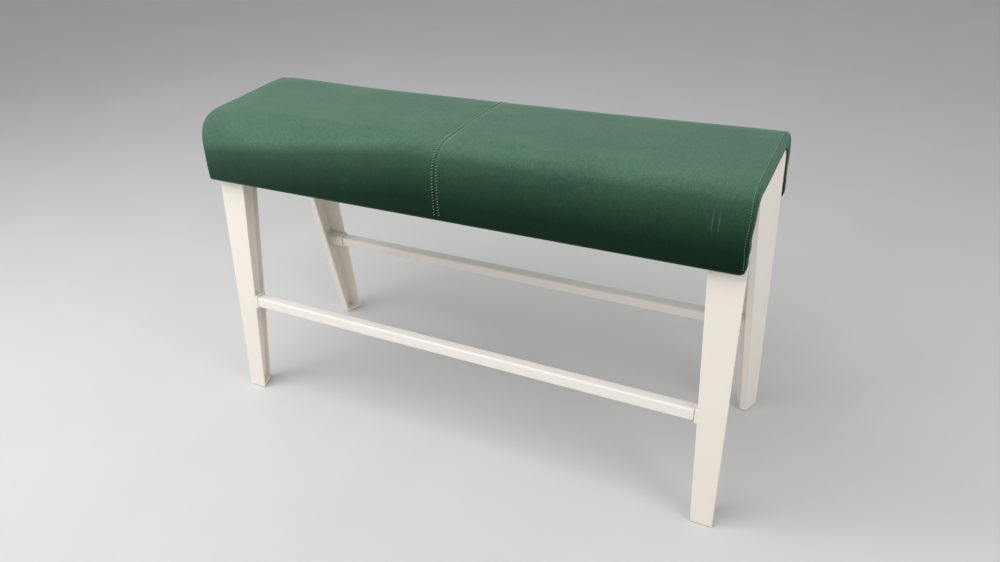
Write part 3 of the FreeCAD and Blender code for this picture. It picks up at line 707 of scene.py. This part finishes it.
HEM_EDGE = ((HEM_TURN, 0.0), (HEM_FLAT, 0.0), (6.0, 0.0), (3.4, 0.0), (2.0, -0.5), (1.1, -1.7),
            (0.55, -4.0))
RIM_ROLL = (0.0, 0.12, 0.5, 1.1, 2.0, 3.0, 4.0, 4.7, 5.3, 5.8, 6.1, 6.4, 6.7, 7.1, 7.7, 8.5, 9.4,
            11.0, 13.0, 15.0)


def seat_rings():
    """From the hem over the rim: (distance in, fixed depth or None, share of the padding)."""
    rings = [(delta, depth, 1.0) for delta, depth in HEM_EDGE]
    for share in (0.72, 0.5, 0.25):
        rings.append((0.25 * share, None, share))
    for delta in RIM_ROLL:
        reach = max(ROLL - delta, 0.0)
        rings.append((delta, ROLL - math.sqrt(ROLL ** 2 - reach ** 2), 0.0))
    return rings


def rim_nodes(xs, ss, arc_steps):
    """Base points and outward directions round the rim, anticlockwise in (x, s)."""
    bx, bs = xs[-1], ss[-1]
    sides = [
        ([(x, -bs) for x in xs], (0.0, -1.0)),
        ([(bx, s) for s in ss], (1.0, 0.0)),
        ([(x, bs) for x in xs[::-1]], (0.0, 1.0)),
        ([(-bx, s) for s in ss[::-1]], (-1.0, 0.0)),
    ]
    nodes = []
    for spots, (out_x, out_s) in sides:
        nodes += [(x, s, out_x, out_s) for x, s in spots]
        for k in range(1, arc_steps):
            w = math.pi / 2 * k / arc_steps
            c, d = math.cos(w), math.sin(w)
            nodes.append((*spots[-1], out_x * c - out_s * d, out_x * d + out_s * c))
    return nodes


def spaced(stops, step):
    """Sorted positions from 0 outward through the stops, at most step apart."""
    out = [stops[0]]
    for a, b in zip(stops, stops[1:]):
        n = max(1, math.ceil((b - a) / step))
        out += [a + (b - a) * (k + 1) / n for k in range(n)]
    return out


def both_ways(half):
    """Positions from 0 outward, with their mirror images before them."""
    return np.array([-v for v in half[:0:-1]] + half)


def ring_at(nodes, hem, delta, fixed, share):
    """Arrays x, s and depth q of one ring round the cover."""
    turned = max(delta - HEM_FLAT, 0.0) * (hem if share == 1.0 else 1.0)
    reach = SKIRT_CORNER - min(delta, HEM_FLAT) - turned
    # The left corners are squarer than the right ones
    diagonal = 2 * np.abs(nodes[:, 2] * nodes[:, 3])
    square = 1 + 0.30 * diagonal * (nodes[:, 0] < 0) * ease(reach / SKIRT_CORNER)
    x = nodes[:, 0] + np.clip(nodes[:, 2] * square, -1, 1) * reach
    s = nodes[:, 1] + np.clip(nodes[:, 3] * square, -1, 1) * reach
    deep = padding_depth(np.clip(s, -S_HEM, S_HEM)) + hem * HEM_FOLD
    if share == 0.0:
        q = np.full(len(nodes), fixed)
    elif fixed is None:
        q = ROLL + (deep - ROLL) * share
    else:
        q = deep + fixed
    return x, s, q


def hem_faces(hem):
    """Faces between the first two rings, which touch where there is no turned-in hem."""
    around = len(hem)
    faces = []
    for i in range(around):
        j = (i + 1) % around
        if hem[i] > 0 and hem[j] > 0:
            faces.append((i, j, around + j, around + i))
        elif hem[j] > 0:
            faces.append((around + i, j, around + j))
        elif hem[i] > 0:
            faces.append((i, around + j, around + i))
    return faces


def border_faces(nodes, xs, ss, last, base):
    """Faces between the last ring, from vertex last, and the border of the grid from base."""
    around, cols = len(nodes), len(ss)

    def spot(x, s):
        return round(float(x), 4), round(float(s), 4)

    index = {}
    for i, x in enumerate(xs):
        for j, s in enumerate(ss):
            if i in (0, len(xs) - 1) or j in (0, cols - 1):
                index[spot(x, s)] = base + i * cols + j
    inner = [index[spot(n[0], n[1])] for n in nodes]
    faces = []
    for i in range(around):
        j = (i + 1) % around
        if inner[i] == inner[j]:
            faces.append((last + i, last + j, inner[j]))
        else:
            faces.append((last + i, last + j, inner[j], inner[i]))
    return faces


def build_seat():
    """Vertices (mm), faces and the (x, s) of every vertex of the whole cover."""
    bx = SEAT_X - SKIRT_CORNER
    bs = S_HEM - SKIRT_CORNER
    near = [0.0, 0.35, 0.8, 1.3, 1.9, 2.6, 3.3, 4.0, 4.6, 5.2, 6.0, 7.0, 9.0, 12.0]
    xs = both_ways(near + spaced([near[-1], bx], 7.0)[1:])
    ss = both_ways(spaced([0.0, bs], STITCH_PITCH / 4))
    nodes = np.array(rim_nodes(xs, ss, 16))
    # The hem is turned in only between the frames' flanges
    between = FRAME_X - flange_width(FRAME_TOP) - 4.0
    hem = (nodes[:, 2] == 0.0) * falling(np.abs(nodes[:, 0]), between, 2.5)
    parts = [ring_at(nodes, hem, *ring) for ring in seat_rings()]
    rings, around = len(parts), len(nodes)
    grid_x, grid_s = np.meshgrid(xs, ss, indexing="ij")
    parts.append((grid_x.ravel(), grid_s.ravel(), np.zeros(grid_x.size)))
    all_x, all_s, all_q = (np.concatenate(column) for column in zip(*parts))
    on_top = np.clip(1 - all_q / (ROLL * 0.9), 0, 1)
    relief = surface_relief(all_x, all_s) * on_top
    points = settle(seat_points(all_x, all_s, all_q - relief))
    faces = hem_faces(hem)
    faces += loft_faces(rings - 1, around, around)
    faces += border_faces(nodes, xs, ss, (rings - 1) * around, rings * around)
    faces += grid_faces(len(xs), len(ss), rings * around)
    return points, faces, all_x, all_s


def pick_region(points, faces, chosen):
    """The chosen faces with their own vertices."""
    picked = [f for f, wanted in zip(faces, chosen) if wanted]
    used = sorted({v for f in picked for v in f})
    renumber = {v: k for k, v in enumerate(used)}
    return points[used], [tuple(renumber[v] for v in f) for f in picked]


def rolled_depth(x, s):
    """Depth of the foam's face, which follows the inside of the cover's rolled rim."""
    play = 0.4
    inside = ROLL - COVER - play
    past_x = np.maximum(np.abs(x) - (SEAT_X - SKIRT_CORNER), 0)
    past_s = np.maximum(np.abs(s) - (S_HEM - SKIRT_CORNER), 0)
    reach = np.clip(ROLL - SKIRT_CORNER + np.hypot(past_x, past_s), 0, inside)
    return ROLL - np.sqrt(inside ** 2 - reach ** 2)


def build_padding():
    """The foam between cover and shell, as one closed loft along the bench."""
    end = SEAT_X - COVER - 1.0
    stations = [end, end - 1.5, end - 4.0, end - 8.0, 560.0, 400.0, 200.0, 0.0]
    stations = stations + [-x for x in stations[-2::-1]]
    rings = []
    for x in stations:
        past = max(abs(x) - (SEAT_X - SKIRT_CORNER), 0.0)
        limit = S_HEM - SKIRT_CORNER + math.sqrt(max((SKIRT_CORNER - 3.0) ** 2 - past ** 2, 0.0))
        s = np.linspace(-limit, limit, 121)
        deep = padding_depth(s) - SHELL_WALL - LAYER_GAP
        top = seat_points(np.full_like(s, x), s, np.minimum(rolled_depth(x, s), deep - 2.0))
        low = seat_points(np.full_like(s, x), s, deep)
        rings.append(settle(np.concatenate([top, low[::-1]])))
    return loft_piece("seat_padding", rings, weighted=False)


def liner_path():
    """Points (y, z) of the dust cover's section, from the front edge to the rear one."""
    low = HEM_Z + HEM_TURN + 1.0
    half = []
    for z in np.linspace(low, OUTER_CZ, 14):
        half.append((leg_outer(z) - LINER_INSET / math.cos(LEAN), z))
    for u in np.linspace(0, 1, 12)[1:]:
        a = OUTER_TURN * (1 - u)
        reach = FRAME_CORNER - LINER_INSET
        half.append((OUTER_CY + reach * math.sin(a), OUTER_CZ + reach * math.cos(a)))
    for y in np.linspace(OUTER_CY, 0, 22)[1:]:
        half.append((y, FRAME_TOP - LINER_INSET))
    return [(-y, z) for y, z in half[:-1]] + half[::-1]


def build_liner():
    """The dust cover: a thin cloth stretched under the shell, slack between its staples.

    Returns the piece and its flat size (length, width) in metres.
    """
    border, columns = 30, 150
    least_slack, more_slack = 0.4, 0.9
    path = np.array(liner_path())
    runs = np.hypot(*np.diff(path, axis=0).T)
    along = np.concatenate([[0], np.cumsum(runs)])
    width = 2 * (FRAME_X - flange_width(FRAME_TOP) - 3.0)
    xs = np.linspace(-width / 2, width / 2, columns)
    slope = np.gradient(path, axis=0)
    slope /= np.linalg.norm(slope, axis=1)[:, None]
    verts = []
    for x in xs:
        edge = falling(abs(x), width / 2, border)
        for k, (y, z) in enumerate(path):
            inner = ease(min(along[k], along[-1] - along[k]) / border)
            wave = 0.5 + 0.5 * math.sin(x * 0.06 + 1.7 * math.sin(along[k] * 0.021))
            slack = edge * inner * (least_slack + more_slack * wave)
            verts.append((x, y + slope[k][1] * slack, z - slope[k][0] * slack))
    faces = [(a, d, c, b) for a, b, c, d in grid_faces(len(xs), len(path))]
    piece = new_piece("dust_cover", verts, faces, 60.0, weighted=False)
    thicken(piece, LINER_CLOTH)
    return piece, (width * MM, float(along[-1]) * MM)


def thicken(piece, thickness):
    """Turns an open sheet into a closed one, grown inward."""
    solid = piece.modifiers.new("thickness", "SOLIDIFY")
    solid.thickness = thickness * MM
    solid.offset = -1.0
    solid.use_rim = True
    apply_modifiers(piece)


def stitch_mesh(name, paths):
    """Thread stitches; a path is (x at s, pitch, length at s, radius, slant, how proud at s)."""
    verts, faces = [], []
    sides, rings, hem_gap = 8, 7, 13
    pointed, hump, bedded, lifted = 0.96, 0.75, 0.70, 0.35
    for x_of, pitch, length_of, radius, slant, proud_of in paths:
        count = int((2 * S_HEM - 2 * hem_gap) / pitch)
        for k in range(count):
            s0 = -(S_HEM - hem_gap) + (k + 0.5) * pitch
            start = len(verts)
            length = length_of(s0)
            for r in range(rings):
                t = r / (rings - 1) - 0.5
                s = s0 + t * length
                x = x_of(s0) + slant * t
                arc = math.sqrt(max(0.0, 1 - (2 * t) ** 2 * pointed))
                rise = proud_of(s)
                lift = radius * (hump * rise * arc - bedded + lifted * rise)
                at = np.array([s])
                relief = surface_relief(np.array([x]), at)[0]
                px, py, pz = settle(seat_points(x, at, np.array([-(relief + lift)])))[0]
                _, _, ny, nz = (part[0] for part in profile(at))
                for c in range(sides):
                    w = 2 * math.pi * c / sides
                    across = radius * arc ** 0.5 * math.cos(w)
                    out = radius * arc ** 0.5 * math.sin(w)
                    verts.append((px + across, py + ny * out, pz + nz * out))
            faces += capped_loft(rings, sides, start)
    return new_piece(name, verts, faces, 80.0, weighted=False)


# Materials

def node_material(name):
    """A new material with its node tree and its main shader."""
    material = bpy.data.materials.new(name)
    material.use_nodes = True
    tree = material.node_tree
    shader = tree.nodes["Principled BSDF"]
    return material, tree, shader


def noise(tree, scale, detail=2.0, rough=0.5, stretch=(1, 1, 1)):
    """The value of a noise in the bench's own space."""
    coords = tree.nodes.new("ShaderNodeTexCoord")
    mapping = tree.nodes.new("ShaderNodeMapping")
    mapping.inputs["Scale"].default_value = stretch
    texture = tree.nodes.new("ShaderNodeTexNoise")
    texture.inputs["Scale"].default_value = scale
    texture.inputs["Detail"].default_value = detail
    texture.inputs["Roughness"].default_value = rough
    tree.links.new(coords.outputs["Object"], mapping.inputs["Vector"])
    tree.links.new(mapping.outputs["Vector"], texture.inputs["Vector"])
    return texture.outputs["Fac"]


def ramp(tree, source, stops):
    """Colours at stops (position, colour), read at the source's value."""
    node = tree.nodes.new("ShaderNodeValToRGB")
    for element, (place, colour) in zip(node.color_ramp.elements, (stops[0], stops[-1])):
        element.position = place
        element.color = (*colour, 1)
    for place, colour in stops[1:-1]:
        node.color_ramp.elements.new(place).color = (*colour, 1)
    tree.links.new(source, node.inputs["Fac"])
    return node.outputs["Color"]


def mix_named(node, name):
    """The socket of that name that the node's data type uses."""
    return [s for s in node.inputs if s.name == name and s.enabled][0]


def bump(tree, shader, height, strength, distance, after=None):
    """Fine relief on the shader, on top of the relief after."""
    node = tree.nodes.new("ShaderNodeBump")
    node.inputs["Strength"].default_value = strength
    node.inputs["Distance"].default_value = distance
    tree.links.new(height, node.inputs["Height"])
    if after is not None:
        tree.links.new(after, node.inputs["Normal"])
    tree.links.new(node.outputs["Normal"], shader.inputs["Normal"])
    return node.outputs["Normal"]


def multiply(tree, first, second):
    """The product of two colours."""
    mix = tree.nodes.new("ShaderNodeMix")
    mix.data_type = "RGBA"
    mix.blend_type = "MULTIPLY"
    mix_named(mix, "Factor").default_value = 1.0
    tree.links.new(first, mix_named(mix, "A"))
    tree.links.new(second, mix_named(mix, "B"))
    return [s for s in mix.outputs if s.enabled][0]


def share_along(tree, axis, low, high):
    """0 at low and 1 at high, in metres along the bench's axis X, Y or Z."""
    coords = tree.nodes.new("ShaderNodeTexCoord")
    parts = tree.nodes.new("ShaderNodeSeparateXYZ")
    span = tree.nodes.new("ShaderNodeMapRange")
    span.inputs["From Min"].default_value = low
    span.inputs["From Max"].default_value = high
    tree.links.new(coords.outputs["Object"], parts.inputs["Vector"])
    tree.links.new(parts.outputs[axis], span.inputs["Value"])
    return span.outputs["Result"]


CHALK = (0.09, 0.15, 0.115, 1)


def chalk(tree, colour, place, reach):
    """A faint rubbed streak round place, reach metres either way."""
    coords = tree.nodes.new("ShaderNodeTexCoord")
    mapping = tree.nodes.new("ShaderNodeMapping")
    mapping.vector_type = "TEXTURE"
    mapping.inputs["Location"].default_value = place
    mapping.inputs["Scale"].default_value = reach
    blob = tree.nodes.new("ShaderNodeTexGradient")
    blob.gradient_type = "SPHERICAL"
    tree.links.new(coords.outputs["Object"], mapping.inputs["Vector"])
    tree.links.new(mapping.outputs["Vector"], blob.inputs["Vector"])
    broken = tree.nodes.new("ShaderNodeMath")
    broken.operation = "MULTIPLY"
    tree.links.new(blob.outputs["Fac"], broken.inputs[0])
    tree.links.new(noise(tree, 500.0, 2.0), broken.inputs[1])
    mix = tree.nodes.new("ShaderNodeMix")
    mix.data_type = "RGBA"
    tree.links.new(broken.outputs["Value"], mix_named(mix, "Factor"))
    tree.links.new(colour, mix_named(mix, "A"))
    mix_named(mix, "B").default_value = CHALK
    return [s for s in mix.outputs if s.enabled][0]


def upholstery():
    """Brushed cover with painted light and shade: lighter on top and towards the left end, darker
    low on the skirts.
    """
    material, tree, shader = node_material("green_upholstery")
    nap = noise(tree, 7.0, 3.0, 0.55, (1.0, 1.6, 1.6))
    tone = ramp(tree, nap, [(0.35, (0.021, 0.081, 0.046)), (0.68, (0.026, 0.094, 0.054))])
    # Painted light and shade: a share that rises up the cover and towards the left end picks a
    # colour that is lighter high up and at the left, and darker low on the skirts.
    painted_light_share = tree.nodes.new("ShaderNodeMath")
    painted_light_share.operation = "MULTIPLY_ADD"
    painted_light_share.inputs[1].default_value = 0.38
    tree.links.new(share_along(tree, "X", -0.08, -0.60), painted_light_share.inputs[0])
    tree.links.new(share_along(tree, "Z", 0.553, 0.700), painted_light_share.inputs[2])
    painted_light_and_shade = ramp(tree, painted_light_share.outputs["Value"],
                [(0.0, (0.02, 0.11, 0.06)), (0.30, (0.08, 0.23, 0.15)), (0.60, (0.62, 0.54, 0.51)),
                 (0.86, (1.36, 0.88, 0.97)), (1.0, (2.90, 1.64, 1.93))])
    brushed = noise(tree, 190.0, 4.0, 0.65, (1.0, 0.4, 0.4))
    mottle = ramp(tree, brushed, [(0.32, (0.89, 0.91, 0.91)), (0.70, (1.10, 1.08, 1.08))])
    grain = noise(tree, 800.0, 3.0, 0.65, (1.0, 0.55, 0.55))
    fleck = ramp(tree, grain, [(0.36, (0.72, 0.74, 0.74)), (0.66, (1.30, 1.26, 1.26))])
    colour = multiply(tree, multiply(tree, tone, painted_light_and_shade), multiply(tree, mottle, fleck))
    streak_reach = (0.0018, 0.02, 0.030)
    for place in ((0.5335, -0.173, 0.646), (0.5445, -0.173, 0.649)):
        colour = chalk(tree, colour, place, streak_reach)
    tree.links.new(colour, shader.inputs["Base Color"])
    shader.inputs["Roughness"].default_value = 0.55
    shader.inputs["Specular IOR Level"].default_value = 0.06
    shader.inputs["Sheen Weight"].default_value = 0.18
    shader.inputs["Sheen Roughness"].default_value = 0.45
    shader.inputs["Sheen Tint"].default_value = (0.66, 1.0, 0.84, 1)
    first = bump(tree, shader, grain, 0.35, 0.0003)
    second = bump(tree, shader, brushed, 0.18, 0.0006, first)
    pores = noise(tree, 260.0, 3.0, 0.6)
    bump(tree, shader, pores, 0.22, 0.0005, second)
    return material


def enamel(name, colour, roughness=0.38):
    """Satin powder coat with a trace of orange peel."""
    material, tree, shader = node_material(name)
    cloud = noise(tree, 6.0, 2.0)
    tone = ramp(tree, cloud, [(0.3, tuple(c * 0.985 for c in colour)), (0.7, colour)])
    tree.links.new(tone, shader.inputs["Base Color"])
    shader.inputs["Roughness"].default_value = roughness
    shader.inputs["Specular IOR Level"].default_value = 0.5
    peel = noise(tree, 420.0, 2.0, 0.5)
    bump(tree, shader, peel, 0.05, 0.0004)
    return material


def plain(name, colour, roughness, metallic=0.0, grain_scale=300.0, grain_depth=0.1):
    """A material of one colour with a fine grain."""
    material, tree, shader = node_material(name)
    cloud = noise(tree, grain_scale, 3.0)
    tone = ramp(tree, cloud, [(0.3, tuple(c * 0.88 for c in colour)), (0.7, colour)])
    tree.links.new(tone, shader.inputs["Base Color"])
    shader.inputs["Roughness"].default_value = roughness
    shader.inputs["Metallic"].default_value = metallic
    bump(tree, shader, cloud, grain_depth, 0.0003)
    return material


def plywood():
    """Raw veneer with its grain along the bench."""
    material, tree, shader = node_material("moulded_plywood")
    grain = noise(tree, 14.0, 5.0, 0.6, (1.0, 14.0, 14.0))
    tone = ramp(tree, grain, [(0.3, (0.42, 0.28, 0.15)), (0.7, (0.60, 0.43, 0.25))])
    tree.links.new(tone, shader.inputs["Base Color"])
    shader.inputs["Roughness"].default_value = 0.6
    bump(tree, shader, grain, 0.2, 0.0005)
    return material


GREEN = upholstery()
WHITE = enamel("frame_enamel", (0.87, 0.82, 0.745))
RAIL_WHITE = enamel("rail_enamel", (0.875, 0.83, 0.765), 0.34)
THREAD = plain("pale_green_thread", (0.24, 0.38, 0.26), 0.6, grain_scale=1500.0, grain_depth=0.3)
STEEL = plain("zinc_plated_steel", (0.55, 0.55, 0.56), 0.35, 1.0, 500.0, 0.05)
NYLON = plain("grey_nylon", (0.62, 0.62, 0.60), 0.5, 0.0, 250.0, 0.05)
FOAM = plain("cut_foam", (0.70, 0.66, 0.50), 0.9, 0.0, 700.0, 0.5)
LINER = plain("nonwoven_liner", (0.018, 0.018, 0.018), 0.85, 0.0, 900.0, 0.4)
PLY = plywood()


def finish(piece, material, slot, *replaced):
    """Gives a piece its material and body, and hides the solids that it stands for; its slot is not
    used.
    """
    piece.data.materials.clear()
    piece.data.materials.append(material)
    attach(piece, root)
    if replaced:
        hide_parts(*replaced)
    return piece


# Put the bench together

HANDS = (("right", 1), ("left", -1))
for hand, _ in HANDS:
    finish(end_frame(hand), WHITE, "frame_enamel", f"{hand}_end_frame")
for depth, side in (("rear", 1), ("front", -1)):
    finish(rail(depth, side), RAIL_WHITE, "rail_enamel", f"{depth}_foot_rail")
    for hand, sign in HANDS:
        end = plug(depth, side, hand, sign)
        finish(end, RAIL_WHITE, "rail_enamel", f"rail_plug_{depth}_{hand}")

COVER_ANGLE = 60.0
points, faces, vert_x, vert_s = build_seat()
face_x = np.array([sum(vert_x[v] for v in f) / len(f) for f in faces])
face_s = np.array([sum(vert_s[v] for v in f) / len(f) for f in faces])
inside_seam = np.abs(face_x) < end_seam_x(face_s)
for hand, sign in HANDS:
    on_side = face_x * sign > 0
    verts, quads = pick_region(points, faces, on_side & inside_seam)
    panel = new_piece(f"seat_cover_{hand}", verts, quads, COVER_ANGLE, weighted=False)
    thicken(panel, COVER)
    finish(panel, GREEN, "seat_cover", f"cover_panel_{hand}")
    verts, quads = pick_region(points, faces, on_side & ~inside_seam)
    band = new_piece(f"seat_end_band_{hand}", verts, quads, COVER_ANGLE, weighted=False)
    thicken(band, COVER)
    finish(band, GREEN, "seat_cover", f"cover_end_band_{hand}")

padding = finish(build_padding(), FOAM, "padding", "seat_foam")
liner, liner_size = build_liner()
finish(liner, LINER, "liner_cloth", "underside_liner")



def on_skirt(s, start, span):
    """0 across the top and 1 on the skirts."""
    return float(rising(abs(s), start, span))


# Stitches lie flat on the top and stand out on the skirts at the centre seam; at the end
# seams it is the other way round
rows = []
for offset, slant in ((-STITCH_ROW, 3.2), (STITCH_ROW, 3.8)):
    rows.append((lambda s, d=offset: d, STITCH_PITCH, lambda s: 2.5, 0.85, slant,
                 lambda s: on_skirt(s, 75, 60)))
finish(stitch_mesh("centre_seam_stitches", rows), THREAD, "seat_cover")
rows = []
for _, sign in HANDS:
    rows.append((lambda s, d=sign: d * (float(end_seam_x(s)) - 1.5), 4.8,
                 lambda s: 3.7 - 1.5 * on_skirt(s, 130, 50), 0.42, 0.0,
                 lambda s: 1.0 - 0.75 * on_skirt(s, 130, 50)))
finish(stitch_mesh("end_seam_stitches", rows), THREAD, "seat_cover")

# The solids that stay as they are get their looks
for name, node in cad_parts.items():
    material = None
    if name.startswith(("rail_lock_screw", "seat_bolt", "seat_washer", "tee_nut")):
        material = STEEL
    elif name.startswith("foot_glide"):
        material = NYLON
    elif name == "seat_shell":
        material = PLY
    if material is not None:
        node.data.materials.clear()
        node.data.materials.append(material)


# Stage, light and camera

def stage_floor():
    """A wide pale floor."""
    size = 60.0
    corners = [(-size, -size, 0), (size, -size, 0), (size, size, 0), (-size, size, 0)]
    mesh = bpy.data.meshes.new("floor")
    mesh.from_pydata(corners, [], [(0, 1, 2, 3)])
    floor = bpy.data.objects.new("floor", mesh)
    bpy.context.scene.collection.objects.link(floor)
    material, tree, shader = node_material("pale_floor")
    cloud = noise(tree, 3.0, 2.0)
    tone = ramp(tree, cloud, [(0.3, (0.63, 0.63, 0.625)), (0.7, (0.65, 0.65, 0.645))])
    tree.links.new(tone, shader.inputs["Base Color"])
    shader.inputs["Roughness"].default_value = 0.9
    mesh.materials.append(material)


def lamp(name, place, target, size, power, colour=(1, 1, 1)):
    """A rectangular area light that points at its target."""
    data = bpy.data.lights.new(name, "AREA")
    data.shape = "RECTANGLE"
    data.size, data.size_y = size
    data.energy = power
    data.color = colour
    light = bpy.data.objects.new(name, data)
    bpy.context.scene.collection.objects.link(light)
    light.location = place
    light.rotation_euler = (Vector(target) - Vector(place)).to_track_quat("-Z", "Y").to_euler()


def backdrop():
    """Even grey light, with a plain pale wall where the world is seen or mirrored."""
    world = bpy.data.worlds.new("studio")
    bpy.context.scene.world = world
    world.use_nodes = True
    tree = world.node_tree
    shade = tree.nodes["Background"]
    shade.inputs["Color"].default_value = (0.80, 0.81, 0.82, 1)
    shade.inputs["Strength"].default_value = 0.50
    seen = tree.nodes.new("ShaderNodeBackground")
    seen.inputs["Color"].default_value = (0.66, 0.66, 0.65, 1)
    seen.inputs["Strength"].default_value = 1.0
    path = tree.nodes.new("ShaderNodeLightPath")
    direct = path.outputs["Is Camera Ray"]
    for ray in ("Is Glossy Ray", "Is Transmission Ray"):
        either = tree.nodes.new("ShaderNodeMath")
        either.operation = "MAXIMUM"
        tree.links.new(direct, either.inputs[0])
        tree.links.new(path.outputs[ray], either.inputs[1])
        direct = either.outputs["Value"]
    mix = tree.nodes.new("ShaderNodeMixShader")
    tree.links.new(direct, mix.inputs["Fac"])
    tree.links.new(shade.outputs["Background"], mix.inputs[1])
    tree.links.new(seen.outputs["Background"], mix.inputs[2])
    tree.links.new(mix.outputs["Shader"], tree.nodes["World Output"].inputs["Surface"])


def photo_camera():
    """The camera fitted to the photograph: place in metres, angles in radians."""
    place = (0.7797, -1.3718, 1.2438)
    yaw, pitch, roll = 0.496, 0.530, 0.059
    focal_pixels, photo_width, sensor = 799.43, 1000, 36.0
    level = math.cos(pitch)
    ahead = Vector((-math.sin(yaw) * level, math.cos(yaw) * level, -math.sin(pitch)))
    right = Vector((math.cos(yaw), math.sin(yaw), 0))
    down = ahead.cross(right)
    image_right = math.cos(roll) * right + math.sin(roll) * down
    image_down = math.cos(roll) * down - math.sin(roll) * right
    data = bpy.data.cameras.new("photo_camera")
    data.sensor_width = sensor
    data.lens = sensor * focal_pixels / photo_width
    camera = bpy.data.objects.new("photo_camera", data)
    turn = Matrix((image_right, -image_down, -ahead)).transposed().to_4x4()
    camera.matrix_world = Matrix.Translation(place) @ turn
    bpy.context.scene.collection.objects.link(camera)
    bpy.context.scene.camera = camera


stage_floor()
backdrop()
lamp("ceiling", (-0.8, -1.1, 2.8), (0, 0, 0.5), (3.4, 2.2), 62)
WARM = (1.0, 0.98, 0.95)
lamp("window", (-2.1, -1.7, 1.5), (-0.4, 0, 0.4), (1.8, 1.6), 20, WARM)
lamp("side", (2.8, -0.9, 1.5), (0.5, 0, 0.4), (1.6, 1.4), 25, WARM)
photo_camera()
bpy.context.scene.view_settings.view_transform = "Standard"
